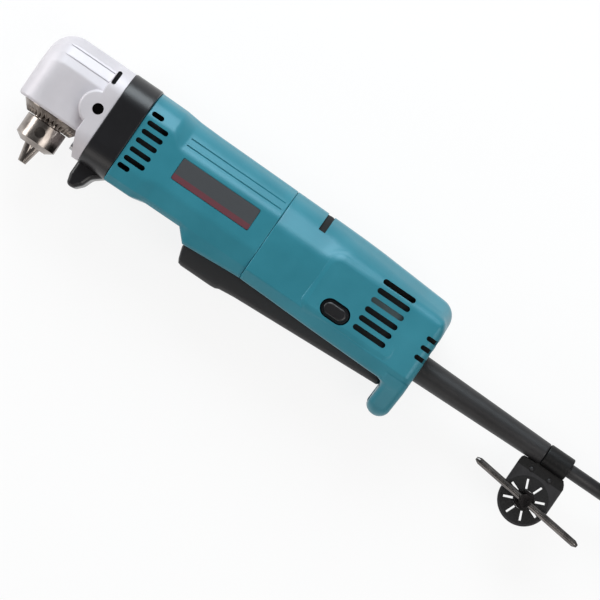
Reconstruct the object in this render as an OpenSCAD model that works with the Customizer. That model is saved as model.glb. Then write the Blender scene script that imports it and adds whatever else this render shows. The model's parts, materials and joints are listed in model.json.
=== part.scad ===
// Right angle drill: geared head, keyed chuck, motor, paddle handle and mains lead.
// Built along X from the head's front face, Y up from the motor axis and Z towards the left side.

/* [Gear head] */
// Length of the head in front of its flange
head_len = 39.2; // [37:0.2:46]
// Thickness of the flange behind the head
flange_t = 9.3; // [9:0.1:12]
// Height of the head above the motor axis
head_top = 28.9; // [28:0.1:34]
// Depth of the head below the motor axis
head_drop = 15.6; // [14:0.1:17]
// Width of the head
head_w = 46; // [44:0.5:52]
// Width of the flange
flange_w = 60; // [58:0.5:64]
// Height of the flange above and below the motor axis
flange_half_h = 28.7; // [27:0.1:31]
// Radius of the upper front corner of the head
head_nose_r = 15; // [8:0.5:18]
// Distance of the spindle axis behind the front face
spindle_x = 22.3; // [22:0.1:24]
// Wall of the castings
head_wall = 2.6; // [2:0.1:3]

/* [Chuck] */
// Radius of the toothed sleeve
sleeve_r = 18.4; // [17:0.1:18.8]
// Height of the sleeve's bevelled rim
sleeve_rim_h = 5.8; // [4:0.1:7]
// Radius of the chuck body below the sleeve
chuck_r = 12.4; // [12:0.1:13]
// Length of the chuck body below the sleeve
nose_len = 14.8; // [13:0.1:18]
// Length of the jaws that stands out of the body
jaw_out = 10.5; // [8:0.1:11]
// Radius of a jaw
jaw_r = 2.8; // [2.4:0.1:3]
// Slant of the jaws against the spindle axis, degrees
jaw_slant = 14; // [12:0.5:15]
// Length of a jaw
jaw_len = 30.4; // [29.6:0.2:30.6]
// Radius of the bit that the jaws hold
bit_r = 1.5; // [1.2:0.1:1.6]
// Number of teeth round the sleeve
sleeve_teeth = 34; // [20:1:40]
// Radius of the pilot holes for the key
pilot_r = 3; // [2.5:0.1:3.2]

/* [Motor housing] */
// Length of the black collar
collar_len = 17.7; // [17:0.1:22]
// Reach of the collar's chin below the motor axis
chin_drop = 42.6; // [38:0.2:46]
// Length of the motor housing
motor_len = 91.9; // [91:0.1:100]
// Width of the motor housing
motor_w = 60; // [58:0.5:64]
// Height of the motor housing above the motor axis
motor_top = 27.4; // [27:0.1:30]
// Depth of the motor housing below the motor axis
motor_drop = 27.6; // [27:0.1:30]
// Wall of the plastic shells
wall = 2.6; // [2:0.1:3]
// Height of the front vents
vent_h = 2.4; // [1.6:0.1:3]
// Pitch of the front vents
vent_pitch = 5.6; // [5:0.1:6]

/* [Handle] */
// Length of the handle behind the motor housing
handle_len = 109.9; // [108:0.1:118]
// Width of the handle
handle_w = 62; // [60:0.5:66]
// Height of the handle's rear end above the motor axis
handle_rear_top = 21.4; // [19:0.1:24]
// Depth of the handle's lower edge below the motor axis
skirt_drop = 33; // [32:0.1:35]
// Reach of the hook below the motor axis
hook_drop = 52; // [48:0.2:56]
// Thickness of the hook
hook_t = 13; // [11:0.1:15]
// Height of the rear vents
rear_vent_h = 2.75; // [2:0.05:3]
// Pitch of the rear vents
rear_vent_pitch = 5.92; // [5.4:0.02:6.2]

/* [Controls] */
// Width of the switch lever
lever_w = 27; // [24:0.5:28]
// Depth of the lever's front below the motor axis
lever_drop = 44.2; // [43:0.1:46]
// Wall of the lever
lever_wall = 2.6; // [2:0.1:3.4]
// Length of the oval lock button
lock_len = 14.4; // [12:0.2:16]
// Height of the oval lock button
lock_h = 7.6; // [6:0.2:9]
// Travel of the lock button
lock_travel = 3; // [2:0.1:3.4]

/* [Drive] */
// Tooth module of the spur gears
spur_module = 0.8; // [0.78:0.01:0.84]
// Teeth of the motor pinion
pinion_teeth = 8; // [8:1:9]
// Teeth of the reduction gear
reduction_teeth = 27; // [26:1:28]
// Tooth module of the bevel gears
bevel_module = 1; // [0.96:0.01:1.02]
// Teeth of the bevel pinion
bevel_pinion_teeth = 9; // [9:1:10]
// Teeth of the bevel gear
bevel_gear_teeth = 31; // [30:1:32]
// Radius of the field core
field_r = 23.4; // [22:0.1:23.8]
// Radius of the armature
armature_r = 14.2; // [13:0.1:14.6]
// Length of the armature core
core_len = 40; // [30:0.5:42]
// Radius of the armature shaft
shaft_r = 3.5; // [3:0.1:4]
// Radius of the spindle in its bearing
spindle_r = 6; // [5:0.1:6.5]
// Clearance of running fits, measured on the radius
run_gap = 0.05; // [0.03:0.01:0.08]

/* [Cord] */
// Diameter of the mains cord
cord_d = 8; // [7.8:0.1:8.1]
// Length of the cord guard behind the handle
guard_len = 84.5; // [70:0.5:90]
// Radius of the cord guard at its root
guard_root_r = 8.1; // [7.6:0.1:9]
// Radius of the cord guard at its end
guard_end_r = 6.5; // [6:0.1:7]
// Radius of the key holder's disc
holder_r = 14.8; // [13:0.1:16]
// Thickness of the key holder
holder_t = 3.4; // [3:0.1:4]
// Radius of the chuck key's shank
key_r = 3.6; // [3:0.1:4]
// Length of the chuck key's tee bar
tee_len = 73.6; // [60:0.5:80]
// Radius of the tee bar
tee_r = 2.05; // [1.8:0.05:2.2]
// Radius of the innermost turn
coil_inner_r = 32; // [31:0.5:36]
// Step from one turn to the next
coil_step = 8.7; // [8.6:0.1:9]

/* [Hidden] */
$fn = 64;
// Overrun of all cuts
over = 1;
// Gap between pieces that move past each other
slide_gap = 0.3;
// Stations along the tool: flange, collar, motor housing, seam of the handle and rear face
x_flange = head_len;
x_collar = x_flange + flange_t;
x_motor = x_collar + collar_len;
x_seam = x_motor + motor_len;
x_rear = x_seam + handle_len;
// The collar stands this much proud of the flange
collar_lip = 0.4;
collar_half_h = flange_half_h + collar_lip;
rest_z = handle_w / 2;
y_shift = (hook_drop - collar_half_h) / 2;
// The gear axis lies above the motor axis by the centre distance of the spur gears
gear_y = spur_module * (pinion_teeth + reduction_teeth) / 2;
// Chuck stations below the motor axis
y_rim = -head_drop - sleeve_rim_h;
y_nose = y_rim - nose_len;
y_tip = y_nose - jaw_out;
// Share of a jaw's radius by which its axis passes the spindle axis at the tip
jaw_cross_share = 0.15;
// Room round the sleeve inside the head
recess_gap = 0.6;
recess_r = sleeve_r + recess_gap;
recess_h = 14;
// Ball bearings: outer radius, width
spindle_bearing_r = 14;
spindle_bearing_w = 7;
pinion_bearing_r = 10;
pinion_bearing_w = 7;
front_bearing_r = 11;
front_bearing_w = 7;
rear_bearing_r = 9.5;
rear_bearing_w = 6;
// Share of a bearing's radial room that one race takes
race_share = 0.3;
gear_shaft_r = 4;
bush_wall = 2;
bush_len = 5.2;
// Stations of the gear train behind the collar's front
reduction_w = 8;
reduction_x = x_collar + slide_gap;
plate_x = reduction_x + reduction_w + over;
plate_t = bush_len + slide_gap;
y_recess_top = -head_drop + recess_h;
y_bearing = y_recess_top + over;
y_gear_back = y_bearing + spindle_bearing_w + slide_gap;
// Pitch cones of the bevel pair
bevel_r = bevel_module * bevel_gear_teeth / 2;
bevel_pinion_r = bevel_module * bevel_pinion_teeth / 2;
bevel_slope = atan(bevel_pinion_r / bevel_r);
bevel_face = 4.8;
// Share of the tooth pitch that a tooth fills, and tooth heights as shares of the module
tooth_share = 0.33;
addendum_share = 0.55;
dedendum_share = 0.85;
// Widths of a spur tooth at its foot and tip, as shares of its width
tooth_foot = 1.5;
tooth_tip = 0.6;
// Lever pivot
pin_r = 1.8;
// Place of the lever pin inside the hook and above the lower edge, in radii of the pin
pin_in_share = 1.2;
pin_up_share = 1.4;
lever_pin_x = x_rear - hook_t + pin_in_share * pin_r;
lever_pin_y = -skirt_drop + pin_up_share * pin_r;
pin_room = 3 * pin_r;
lever_side_gap = 0.8;
lever_slot_w = lever_w + 2 * lever_side_gap;
// Length of the lever in front of the handle seam
lever_front_len = 36;
lever_front_x = x_seam - lever_front_len;

// Moves from the drill's own axes to the way it lies, on its right side with the hook towards -Y
module lay() translate([-x_rear / 2, y_shift, rest_z]) children();

// Turns a shape drawn along Z so that it runs along X, from station x at height y
module along_x(x, y = 0) translate([x, y, 0]) rotate([0, 90, 0]) children();

// Turns a shape drawn along Z so that it runs up the spindle axis from height y
module up_spindle(y) translate([spindle_x, y, 0]) rotate([-90, 0, 0]) children();

// Extrudes a side view, drawn in X and Y, to the given width about the middle plane
module side_prism(w) linear_extrude(height = w, center = true) children();

// Extrudes a cross-section, drawn with Y to the right and Z up, from x0 to x1
module section_prism(x0, x1) translate([x0, 0, 0]) rotate([90, 0, 90])
    linear_extrude(height = x1 - x0) children();

module ring(r_out, r_in, len) difference() {
    cylinder(r = r_out, h = len);
    translate([0, 0, -over]) cylinder(r = r_in, h = len + 2 * over);
}

// Takes a square corner off at p, towards the quadrant s, and leaves it rounded
module corner_cut(p, s, r) translate([p[0] - s[0] * r, p[1] - s[1] * r]) difference() {
    translate([s[0] > 0 ? 0 : -r - over, s[1] > 0 ? 0 : -r - over]) square(r + over);
    circle(r);
}

module round_out(r) offset(r = r) offset(delta = -r) children();

function mirrored(half) = concat(half, [for (i = [len(half) - 1:-1:0]) [half[i][0], -half[i][1]]]);

module slot_2d(len, h) {
    square([len - h, h], center = true);
    for (s = [-1, 1]) translate([s * (len - h) / 2, 0]) circle(d = h);
}

// Gear head: cast body with a rounded shoulder, flange, spindle bores and the sleeve's recess
flange_screw_r = 1.9;
screw_head_r = 3.2;
// Material left outside a flange screw
screw_edge = 1;
screw_half_w = min(flange_w, handle_w - 2 * head_wall) / 2 - flange_screw_r - screw_edge;
// Places of the flange screws: shares of the flange's half height and of the outermost place sideways
flange_screw_shares = [[0.5, 1], [0.5, -1], [-0.8, 0.6], [-0.8, -0.6]];
// Bores for a side handle, one in each flank of the flange
side_bore_r = 3.2;
side_bore_len = 9;
side_bore_y = 1.1;
shoulder_r = 14;
head_foot_r = 2.4;
// Rounding of the upright front edges of the head, seen from above
head_plan_r = 13;
flange_corner_r = 16;

module at_flange_screws(shares = flange_screw_shares) for (s = shares)
    translate([0, s[0] * flange_half_h, s[1] * screw_half_w]) children();

module head_side(inset = 0) difference() {
    translate([inset, -head_drop + inset])
        square([x_flange + over - inset, head_drop + head_top - 2 * inset]);
    corner_cut([inset, head_top - inset], [-1, 1], head_nose_r - inset);
    corner_cut([inset, -head_drop + inset], [-1, -1], head_foot_r);
}

module head_section(inset = 0) difference() {
    translate([-head_drop, -head_w / 2 + inset]) square([head_drop + head_top - inset, head_w - 2 * inset]);
    for (s = [-1, 1]) corner_cut([head_top - inset, s * (head_w / 2 - inset)], [1, s], shoulder_r - inset);
}

module head_plan() difference() {
    translate([0, -head_w / 2]) square([x_flange + over, head_w]);
    for (s = [-1, 1]) corner_cut([0, s * head_w / 2], [-1, s], head_plan_r);
}

module flange_section(inset = 0) translate([-flange_half_h + inset, -flange_w / 2 + inset]) difference() {
    square([2 * (flange_half_h - inset), flange_w - 2 * inset]);
    for (a = [0, 1], b = [0, 1]) corner_cut([a * 2 * (flange_half_h - inset), b * (flange_w - 2 * inset)],
        [2 * a - 1, 2 * b - 1], flange_corner_r - inset);
}

gear_room_y0 = y_gear_back - slide_gap;
gear_room_y1 = head_top - head_wall - bush_len - over;
gear_room_r = bevel_r + 2 * slide_gap + bevel_module;
upper_shaft_r = 4;

module gear_head() color("silver") lay() difference() {
    union() {
        intersection() {
            side_prism(head_w) head_side();
            section_prism(-over, x_flange + over) head_section();
            translate([0, -head_drop, 0]) rotate([-90, 0, 0])
                linear_extrude(height = head_drop + head_top) head_plan();
        }
        section_prism(x_flange, x_collar) flange_section();
    }
    up_spindle(-flange_half_h - over)
        cylinder(r = recess_r, h = flange_half_h - head_drop + recess_h + over);
    up_spindle(y_recess_top - over) cylinder(r = spindle_bearing_r, h = spindle_bearing_w + 2 * over);
    up_spindle(gear_room_y0 - over / 2)
        cylinder(r = gear_room_r, h = gear_room_y1 - gear_room_y0 + over / 2);
    up_spindle(gear_room_y1 - over) cylinder(r = upper_shaft_r + bush_wall, h = bush_len + over);
    along_x(spindle_x, gear_y) cylinder(r = pinion_bearing_r, h = x_collar - spindle_x + over);
    along_x(x_collar - over - slide_gap, 0) cylinder(r = pinion_room_r, h = 2 * over + slide_gap);
    translate([x_flange - over, 0, 0]) at_flange_screws() rotate([0, 90, 0]) {
        cylinder(r = flange_screw_r, h = flange_t + 2 * over);
        cylinder(r = screw_head_r, h = flange_t / 2 + over);
    }
    for (s = [-1, 1]) translate([x_flange + side_bore_r, side_bore_y, s * (flange_w / 2 + over)])
        rotate([s > 0 ? 180 : 0, 0, 0]) cylinder(r = side_bore_r, h = side_bore_len + over);
}
pinion_room_r = spur_module * (pinion_teeth / 2 + 1) + slide_gap;

// Collar: black ring with the chin that guards the chuck side of the hand
chin_len = 12.2;
chin_tip_r = 4;
chin_w = 32;
chin_edge_share = 0.9;
chin_back_share = 0.8;
chin_root_share = 0.78;

module collar_chin() round_out(chin_tip_r) polygon([
    [x_collar, -flange_half_h / 2],
    [x_collar, -chin_drop * chin_edge_share],
    [x_collar + chin_tip_r, -chin_drop],
    [x_collar + chin_len * chin_back_share, -chin_drop * chin_edge_share],
    [x_collar + chin_len, -chin_drop * chin_root_share],
    [x_motor, -collar_half_h],
    [x_motor, -flange_half_h / 2]
]);

module collar_section(inset = 0) translate([-collar_half_h + inset, -handle_w / 2 + inset]) difference() {
    square([2 * (collar_half_h - inset), handle_w - 2 * inset]);
    for (a = [0, 1], b = [0, 1]) corner_cut([a * 2 * (collar_half_h - inset), b * (handle_w - 2 * inset)],
        [2 * a - 1, 2 * b - 1], flange_corner_r + collar_lip - inset);
}

module front_collar() color([0.17, 0.17, 0.18]) lay() difference() {
    union() {
        section_prism(x_collar, x_motor) collar_section();
        intersection() {
            side_prism(chin_w) collar_chin();
            section_prism(x_collar, x_motor) translate([-chin_drop - over, -chin_w / 2])
                square([chin_drop + over, chin_w]);
        }
    }
    section_prism(x_collar - over, x_motor + over) collar_section(head_wall);
}

// Motor housing: barrel with a wider front ring, side skirts round the lever and a floor under the motor
// Shares of the housing's half heights and half width along its cross-section
motor_section_shares = [[1, 0.34], [0.84, 0.68], [0.32, 1], [-0.5, 1], [-0.9, 0.9], [-1.25, 0.82]];
section_round = 7;
ring_len = 17;
ring_blend = 9;
ring_lip = 1;
motor_taper = 1.2;
skirt_front_x = lever_front_x - lever_wall;
skirt_slope = 7;

function sided(shares, top, drop, w) = [for (s = shares) [s[0] > 0 ? s[0] * top : s[0] * drop,
    s[1] * w / 2]];

module motor_section(inset = 0) offset(delta = -inset) round_out(section_round)
    polygon(mirrored(sided(motor_section_shares, motor_top + ring_lip, motor_drop + ring_lip, motor_w)));

module motor_side(ext = 0) polygon([
    [x_motor - ext, motor_top + ring_lip],
    [x_motor + ring_len, motor_top + ring_lip],
    [x_motor + ring_len + ring_blend, motor_top],
    [x_seam + ext, motor_top - motor_taper],
    [x_seam + ext, -skirt_drop],
    [skirt_front_x, -skirt_drop],
    [skirt_front_x - skirt_slope, -motor_drop],
    [x_motor + ring_len + ring_blend, -motor_drop],
    [x_motor + ring_len, -motor_drop - ring_lip],
    [x_motor - ext, -motor_drop - ring_lip]
]);

module motor_floor_side() polygon([
    [x_motor - over, motor_top], [x_seam + over, motor_top],
    [x_seam + over, -motor_drop + wall], [x_motor - over, -motor_drop + wall]
]);

// Stations of the motor
web_t = 3;
web_x = x_seam - web_t;
rear_bearing_x = x_seam + web_t;
boss_wall = 2.4;
motor_mid_share = 0.53;
motor_mid_x = x_motor + motor_len * motor_mid_share;
field_overhang = 3;
field_len = core_len + 2 * field_overhang;
field_x = motor_mid_x - field_len / 2;
core_x = motor_mid_x - core_len / 2;
air_gap = 0.6;
rib_t = 2;
vent_long = 13.4;
vent_short = 7.6;
vent_rows = 7;
vent_inset = 2.4;
groove_h = 1.2;
groove_cut = 2.8;
groove_len = 62;
// Heights of the two grooves and of the nameplate's middle, as shares of the housing's height
groove_shares = [0.6, 0.45];
plate_share = -0.04;
nameplate_len = 50.5;
nameplate_h = 13;
nameplate_t = 0.8;
nameplate_share = 0.605;
nameplate_x = x_motor + motor_len * nameplate_share;
nameplate_y = plate_share * motor_top;

module nameplate_2d(gap = 0) translate([nameplate_x, nameplate_y])
    square([nameplate_len + 2 * gap, nameplate_h + 2 * gap], center = true);

module motor_housing() color([0.2, 0.5, 0.58]) lay() difference() {
    union() {
        difference() {
            intersection() {
                side_prism(motor_w) motor_side();
                section_prism(x_motor, x_seam) motor_section();
            }
            intersection() {
                side_prism(motor_w) motor_floor_side();
                section_prism(x_motor - over, x_seam + over) motor_section(wall);
            }
        }
        intersection() {
            side_prism(motor_w) motor_side();
            section_prism(x_motor, x_seam) motor_section();
            union() {
                for (x = [baffle_x, field_x, field_x + field_len - rib_t]) section_prism(x, x + rib_t)
                    square(2 * motor_w, center = true);
                section_prism(web_x, x_seam) square(2 * motor_w, center = true);
            }
        }
        along_x(web_x) cylinder(r = rear_bearing_r + boss_wall,
            h = rear_bearing_x + rear_bearing_w - web_x);
    }
    along_x(x_motor - over) cylinder(r = field_r, h = web_x - x_motor + over);
    along_x(web_x - over) cylinder(r = shaft_r + over, h = rear_bearing_x - web_x + 2 * over);
    along_x(rear_bearing_x) cylinder(r = rear_bearing_r, h = rear_bearing_w + over);
    translate([lever_front_x - lever_wall, -skirt_drop - over, -lever_slot_w / 2])
        cube([lever_front_len + lever_wall + over, skirt_drop - motor_drop + over, lever_slot_w]);
    for (i = [0:vent_rows - 1]) {
        len = i == 0 || i == vent_rows - 1 ? vent_short : vent_long;
        side_prism(2 * motor_w)
            translate([x_motor + vent_inset + len / 2, (i - (vent_rows - 1) / 2) * vent_pitch])
            slot_2d(len, vent_h);
    }
    for (s = [-1, 1], g = groove_shares)
        translate([x_seam - over - groove_len, g * motor_top - groove_h / 2,
            s * motor_w / 2 - (s > 0 ? groove_cut : 0)])
            cube([groove_len, groove_h, groove_cut]);
    translate([0, 0, motor_w / 2 - nameplate_t]) linear_extrude(height = nameplate_t + over) nameplate_2d();
}

module nameplate() color([0.3, 0.29, 0.29]) lay() translate([0, 0, motor_w / 2 - nameplate_t])
    linear_extrude(height = nameplate_t) nameplate_2d();

// Handle halves: profile with the hook, split at the middle plane
handle_section_shares = [[1, 0.3], [0.74, 0.74], [0.2, 1], [-0.77, 1], [-1.02, 0.72], [-1.14, 0.4]];
handle_top = motor_top - motor_taper;
hook_w_share = 0.36;
rear_r = 9.9;
hook_r = 6;
// Fall of the handle's top: shares of its length, and of the fall to its rear end
crest_shares = [[0, 0], [0.4, 0.2], [0.8, 0.72], [1, 1]];
hook_lean = 1.4;
rear_slot_h = 2.7;
rear_slot_len = 7;
rear_slots = 3;

module handle_section(inset = 0) offset(delta = -inset) round_out(section_round) polygon(mirrored(concat(
    sided(handle_section_shares, handle_top, skirt_drop, handle_w),
    [[-hook_drop - 2 * section_round, hook_w_share * handle_w / 2]])));

module handle_side(inset = 0) offset(delta = -inset) difference() {
    round_out(hook_r) polygon(concat(
        [[x_seam - 2 * rear_r, handle_top]],
        [for (c = crest_shares) [x_seam + c[0] * handle_len,
            handle_top - c[1] * (handle_top - handle_rear_top)]],
        [[x_rear, -skirt_drop], [x_rear - hook_lean, -hook_drop], [x_rear - hook_lean - hook_t, -hook_drop],
         [x_rear - hook_lean - hook_t, -skirt_drop], [x_seam - 2 * rear_r, -skirt_drop]]));
    corner_cut([x_rear, handle_rear_top], [1, 1], rear_r);
}

// Stations inside the handle
// Places along the handle, as shares of its length
switch_share = 0.29;
reverse_share = 0.118;
capacitor_share = 0.63;
rear_vent_share = 0.695;
lock_shares = [0.488, 0.52];
plunger_share = 0.32;
switch_x = x_seam + handle_len * switch_share;
switch_len = 32;
switch_top = -4;
switch_h = 22;
switch_w = 24;
switch_y = switch_top - switch_h;
plunger_x = switch_x + switch_len * plunger_share;
reverse_x = x_seam + handle_len * reverse_share;
reverse_len = 30;
reverse_h = 13;
reverse_w = 18;
reverse_drop = 4.6;
reverse_y = handle_top - wall - reverse_h - reverse_drop;
reverse_slot_t = 4.2;
reverse_slot_x = reverse_x + reverse_len / 3;
reverse_slot_w = 40;
reverse_slot_share = 0.58;
capacitor_x = x_seam + handle_len * capacitor_share;
capacitor_len = 18;
capacitor_h = 9;
capacitor_w = 15;
capacitor_z = 7;
lock_x = x_seam + handle_len * lock_shares[0];
lock_y = -lock_shares[1] * skirt_drop;
lock_well = 1.8;
clamp_room = 18;
clamp_x = x_rear - clamp_room;
clamp_len = 9;
cord_y = -skirt_drop / 2;
guard_flange_r = 10.4;
guard_flange_t = 3;
rear_vent_rows = 6;
rear_vent_len = 20.2;
rear_vent_x = x_seam + handle_len * rear_vent_share;

module lock_well_2d(gap) offset(r = gap) translate([lock_x, lock_y]) slot_2d(lock_len, lock_h);

// Room that the ribs leave for the pieces held inside the handle
module held_pieces() {
    translate([switch_x, switch_y, -switch_w / 2]) cube([switch_len, switch_h, switch_w]);
    translate([reverse_x, reverse_y, -reverse_w / 2]) cube([reverse_len, reverse_h, reverse_w]);
    translate([capacitor_x, -capacitor_h / 2, capacitor_z]) cube([capacitor_len, capacitor_h, capacitor_w]);
    translate([reverse_x - rib_t, reverse_y + reverse_h, -reverse_slot_w / 2])
        cube([reverse_len + 2 * rib_t, handle_top, reverse_slot_w]);
    translate([x_seam, -skirt_drop - over, -lever_slot_w / 2])
        cube([handle_len, skirt_drop + over + switch_y + slide_gap, lever_slot_w]);
    translate([lock_x, lock_y, 0]) cylinder(r = lock_len / 2 + 2 * over, h = handle_w);
    along_x(clamp_x - 4 * cord_d, cord_y) cylinder(r = cord_d / 2 + slide_gap, h = handle_len);
}
rib_xs = [switch_x + rib_t, switch_x + switch_len - 2 * rib_t, reverse_x + rib_t,
    capacitor_x + capacitor_len / 2];

// Handle screws run from the right half into the left half
handle_screw_r = 1.7;
screw_cap_r = 3;
screw_cap_h = 2.4;
screw_reach = 12;
screw_boss_r = screw_cap_r + wall / 2;
// Places of the handle screws: shares of the handle's length, of its depth and of its half width at the seat
handle_screw_shares = [[0.08, -0.62, -0.3], [0.555, 0.5, -0.3], [0.93, 0.28, -0.3], [0.93, -1.33, -0.2]];
module at_handle_screws() for (s = handle_screw_shares)
    translate([x_seam + s[0] * handle_len, s[1] * skirt_drop, s[2] * handle_w / 2]) children();

module handle_shell() difference() {
    union() {
        difference() {
            intersection() {
                side_prism(handle_w) handle_side();
                section_prism(x_seam, x_rear + over) handle_section();
            }
            intersection() {
                side_prism(handle_w) handle_side(wall);
                section_prism(x_seam - over, x_rear) handle_section(wall);
            }
        }
        difference() {
            intersection() {
                side_prism(handle_w) handle_side(wall / 2);
                section_prism(x_seam, x_rear) handle_section(wall / 2);
                union() {
                    for (x = rib_xs) section_prism(x, x + rib_t) square(4 * handle_w, center = true);
                    at_handle_screws() cylinder(r = screw_boss_r, h = 2 * handle_w, center = true);
                    translate([lever_pin_x, lever_pin_y, 0])
                        cylinder(r = 2 * pin_r + over, h = handle_w, center = true);
                    translate([clamp_x, cord_y - cord_d, -handle_w / 2])
                        cube([clamp_len, 2 * cord_d, handle_w / 2 - cord_d / 2]);
                    section_prism(x_rear - wall - 2 * guard_flange_t, x_rear)
                        translate([cord_y, 0]) circle(guard_flange_r + wall);
                }
            }
            held_pieces();
        }
    }
    translate([x_seam - over, -skirt_drop - over, -lever_slot_w / 2])
        cube([lever_pin_x - x_seam + over - pin_in_share * pin_r, wall + 3 * over, lever_slot_w]);
    translate([x_seam, lever_pin_y - pin_room, -lever_slot_w / 2])
        cube([lever_pin_x - x_seam + pin_room, 2 * pin_room, lever_slot_w]);
    translate([lever_pin_x, lever_pin_y, 0]) cylinder(r = pin_r, h = handle_w - 2 * wall, center = true);
    at_handle_screws() {
        cylinder(r = handle_screw_r, h = screw_reach);
        translate([0, 0, -handle_w]) cylinder(r = screw_cap_r, h = handle_w);
    }
    along_x(x_rear - wall - guard_flange_t, cord_y) cylinder(r = guard_flange_r, h = guard_flange_t);
    along_x(x_rear - 2 * wall - 2 * guard_flange_t, cord_y)
        cylinder(r = guard_root_r, h = 3 * wall + 2 * guard_flange_t);
    translate([reverse_slot_x - reverse_slot_t / 2, reverse_slot_share * handle_top, -reverse_slot_w / 2])
        cube([reverse_slot_t, handle_top, reverse_slot_w]);
    translate([0, 0, handle_w / 2 - lock_well])
        linear_extrude(height = lock_well + over) lock_well_2d(lock_well);
    linear_extrude(height = handle_w) lock_well_2d(slide_gap);
    for (i = [0:rear_vent_rows - 1]) side_prism(2 * handle_w)
        translate([rear_vent_x, (i - rear_vent_rows / 2) * rear_vent_pitch])
            slot_2d(rear_vent_len, rear_vent_h);
    for (s = [-1, 1], i = [0:rear_slots - 1])
        translate([x_rear - rear_slot_len, -i * rear_vent_pitch - rear_slot_h / 2,
            s > 0 ? handle_w / 4 : -handle_w / 2])
            cube([rear_slot_len + over, rear_slot_h, handle_w / 4]);
}

module handle_half(s) intersection() {
    handle_shell();
    translate([x_seam - over, -2 * hook_drop, s > 0 ? 0 : -handle_w])
        cube([handle_len + 2 * over, 4 * hook_drop, handle_w]);
}

module handle_left() color([0.2, 0.5, 0.58]) lay() handle_half(1);
module handle_right() color([0.2, 0.5, 0.58]) lay() handle_half(-1);

// Ball bearing drawn as its closed ring, with the shield grooves on both faces
shield_d = 0.5;
module bearing(r_out, r_in, w) difference() {
    ring(r_out, r_in, w);
    for (z = [-over, w - shield_d]) translate([0, 0, z])
        ring(r_out - race_share * (r_out - r_in), r_in + race_share * (r_out - r_in), shield_d + over);
}

module spindle_bearing() color("lightgray") lay() up_spindle(y_bearing)
    bearing(spindle_bearing_r, spindle_r + run_gap, spindle_bearing_w);

module spindle_seal() color("dimgray") lay() up_spindle(y_recess_top)
    ring(spindle_bearing_r, spindle_r + run_gap, y_bearing - y_recess_top);

module spindle_bush() color("goldenrod") lay() up_spindle(gear_room_y1)
    ring(upper_shaft_r + bush_wall, upper_shaft_r + run_gap, bush_len);

module pinion_bearing() color("lightgray") lay() along_x(x_collar - pinion_bearing_w, gear_y)
    bearing(pinion_bearing_r, gear_shaft_r + run_gap, pinion_bearing_w);

rear_journal_r = 3;
module pinion_rear_bush() color("goldenrod") lay() along_x(plate_x, gear_y)
    ring(rear_journal_r + bush_wall, rear_journal_r + run_gap, bush_len);

// Gear plate between the gears and the motor, with the seat of the front motor bearing
front_bearing_x = plate_x + plate_t;
module gear_plate() color("darkgray") lay() difference() {
    union() {
        section_prism(plate_x, plate_x + plate_t) collar_section(head_wall);
        along_x(plate_x + plate_t) cylinder(r = front_bearing_r + boss_wall, h = front_bearing_w);
    }
    along_x(front_bearing_x) cylinder(r = front_bearing_r, h = front_bearing_w + over);
    along_x(plate_x - over) cylinder(r = shaft_r + over, h = plate_t + 2 * over);
    along_x(plate_x - over, gear_y) cylinder(r = rear_journal_r + bush_wall, h = bush_len + over);
    translate([plate_x - over, 0, 0]) at_flange_screws() rotate([0, 90, 0])
        cylinder(r = flange_screw_r, h = plate_t + 2 * over);
}

module head_screws() color("gray") lay() translate([x_flange + flange_t / 2, 0, 0]) at_flange_screws()
    rotate([0, 90, 0])
    difference() {
        union() {
            cylinder(r = flange_screw_r, h = plate_x + plate_t - x_flange - flange_t / 2);
            translate([0, 0, -screw_head_r]) cylinder(r = screw_head_r - slide_gap, h = screw_head_r);
        }
        translate([0, 0, -screw_head_r - over])
            cylinder(r = screw_head_r / 2, h = screw_head_r / 2 + over, $fn = 6);
    }

// Spur gear outline: straight-flanked teeth on the pitch circle, first tooth along X
module spur_2d(teeth, m) {
    pitch_r = m * teeth / 2;
    half = 180 / teeth * tooth_share;
    flank = [[-tooth_foot, -dedendum_share], [-tooth_tip, addendum_share],
        [tooth_tip, addendum_share], [tooth_foot, -dedendum_share]];
    polygon([for (i = [0:teeth - 1], k = flank)
        let (a = i * 360 / teeth + k[0] * half, r = pitch_r + k[1] * m) [r * cos(a), r * sin(a)]]);
}

// Straight tooth of the bevel pair along its pitch line, root at -x and tip at +x
bevel_inner = bevel_r / cos(bevel_slope) - bevel_face;
tooth_w = PI * bevel_module * tooth_share * bevel_inner / (bevel_inner + bevel_face);
module bevel_tooth() linear_extrude(height = bevel_face) polygon([
    [-dedendum_share * bevel_module, -tooth_w], [addendum_share * bevel_module, -tooth_w / 3],
    [addendum_share * bevel_module, tooth_w / 3], [-dedendum_share * bevel_module, tooth_w]
]);

pinion_collar_r = gear_shaft_r + over;
bevel_back_x = spindle_x + (bevel_inner + bevel_face) * cos(bevel_slope);
root_share = 0.8;
root_drop = root_share * dedendum_share * bevel_module;
pinion_neck_r = (bevel_inner + bevel_face) * sin(bevel_slope) - root_drop;
collar_start_x = bevel_back_x + 2 * slide_gap;

module bevel_pinion() color("slategray") lay() union() {
    along_x(spindle_x, gear_y) {
        translate([0, 0, bevel_inner * cos(bevel_slope)]) cylinder(
            r1 = bevel_inner * sin(bevel_slope) - root_drop,
            r2 = pinion_neck_r, h = bevel_face * cos(bevel_slope));
        for (i = [0:bevel_pinion_teeth - 1]) rotate([0, 0, -90 + i * 360 / bevel_pinion_teeth])
            rotate([0, bevel_slope, 0]) translate([0, 0, bevel_inner]) bevel_tooth();
    }
    along_x(bevel_back_x, gear_y) cylinder(r = pinion_neck_r, h = 2 * slide_gap);
    along_x(collar_start_x, gear_y)
        cylinder(r = pinion_collar_r, h = x_collar - pinion_bearing_w - collar_start_x);
    along_x(collar_start_x, gear_y)
        cylinder(r = gear_shaft_r, h = reduction_x + reduction_w - collar_start_x);
    along_x(bevel_back_x, gear_y)
        cylinder(r = rear_journal_r, h = plate_x + bush_len - slide_gap - bevel_back_x);
}

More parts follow.
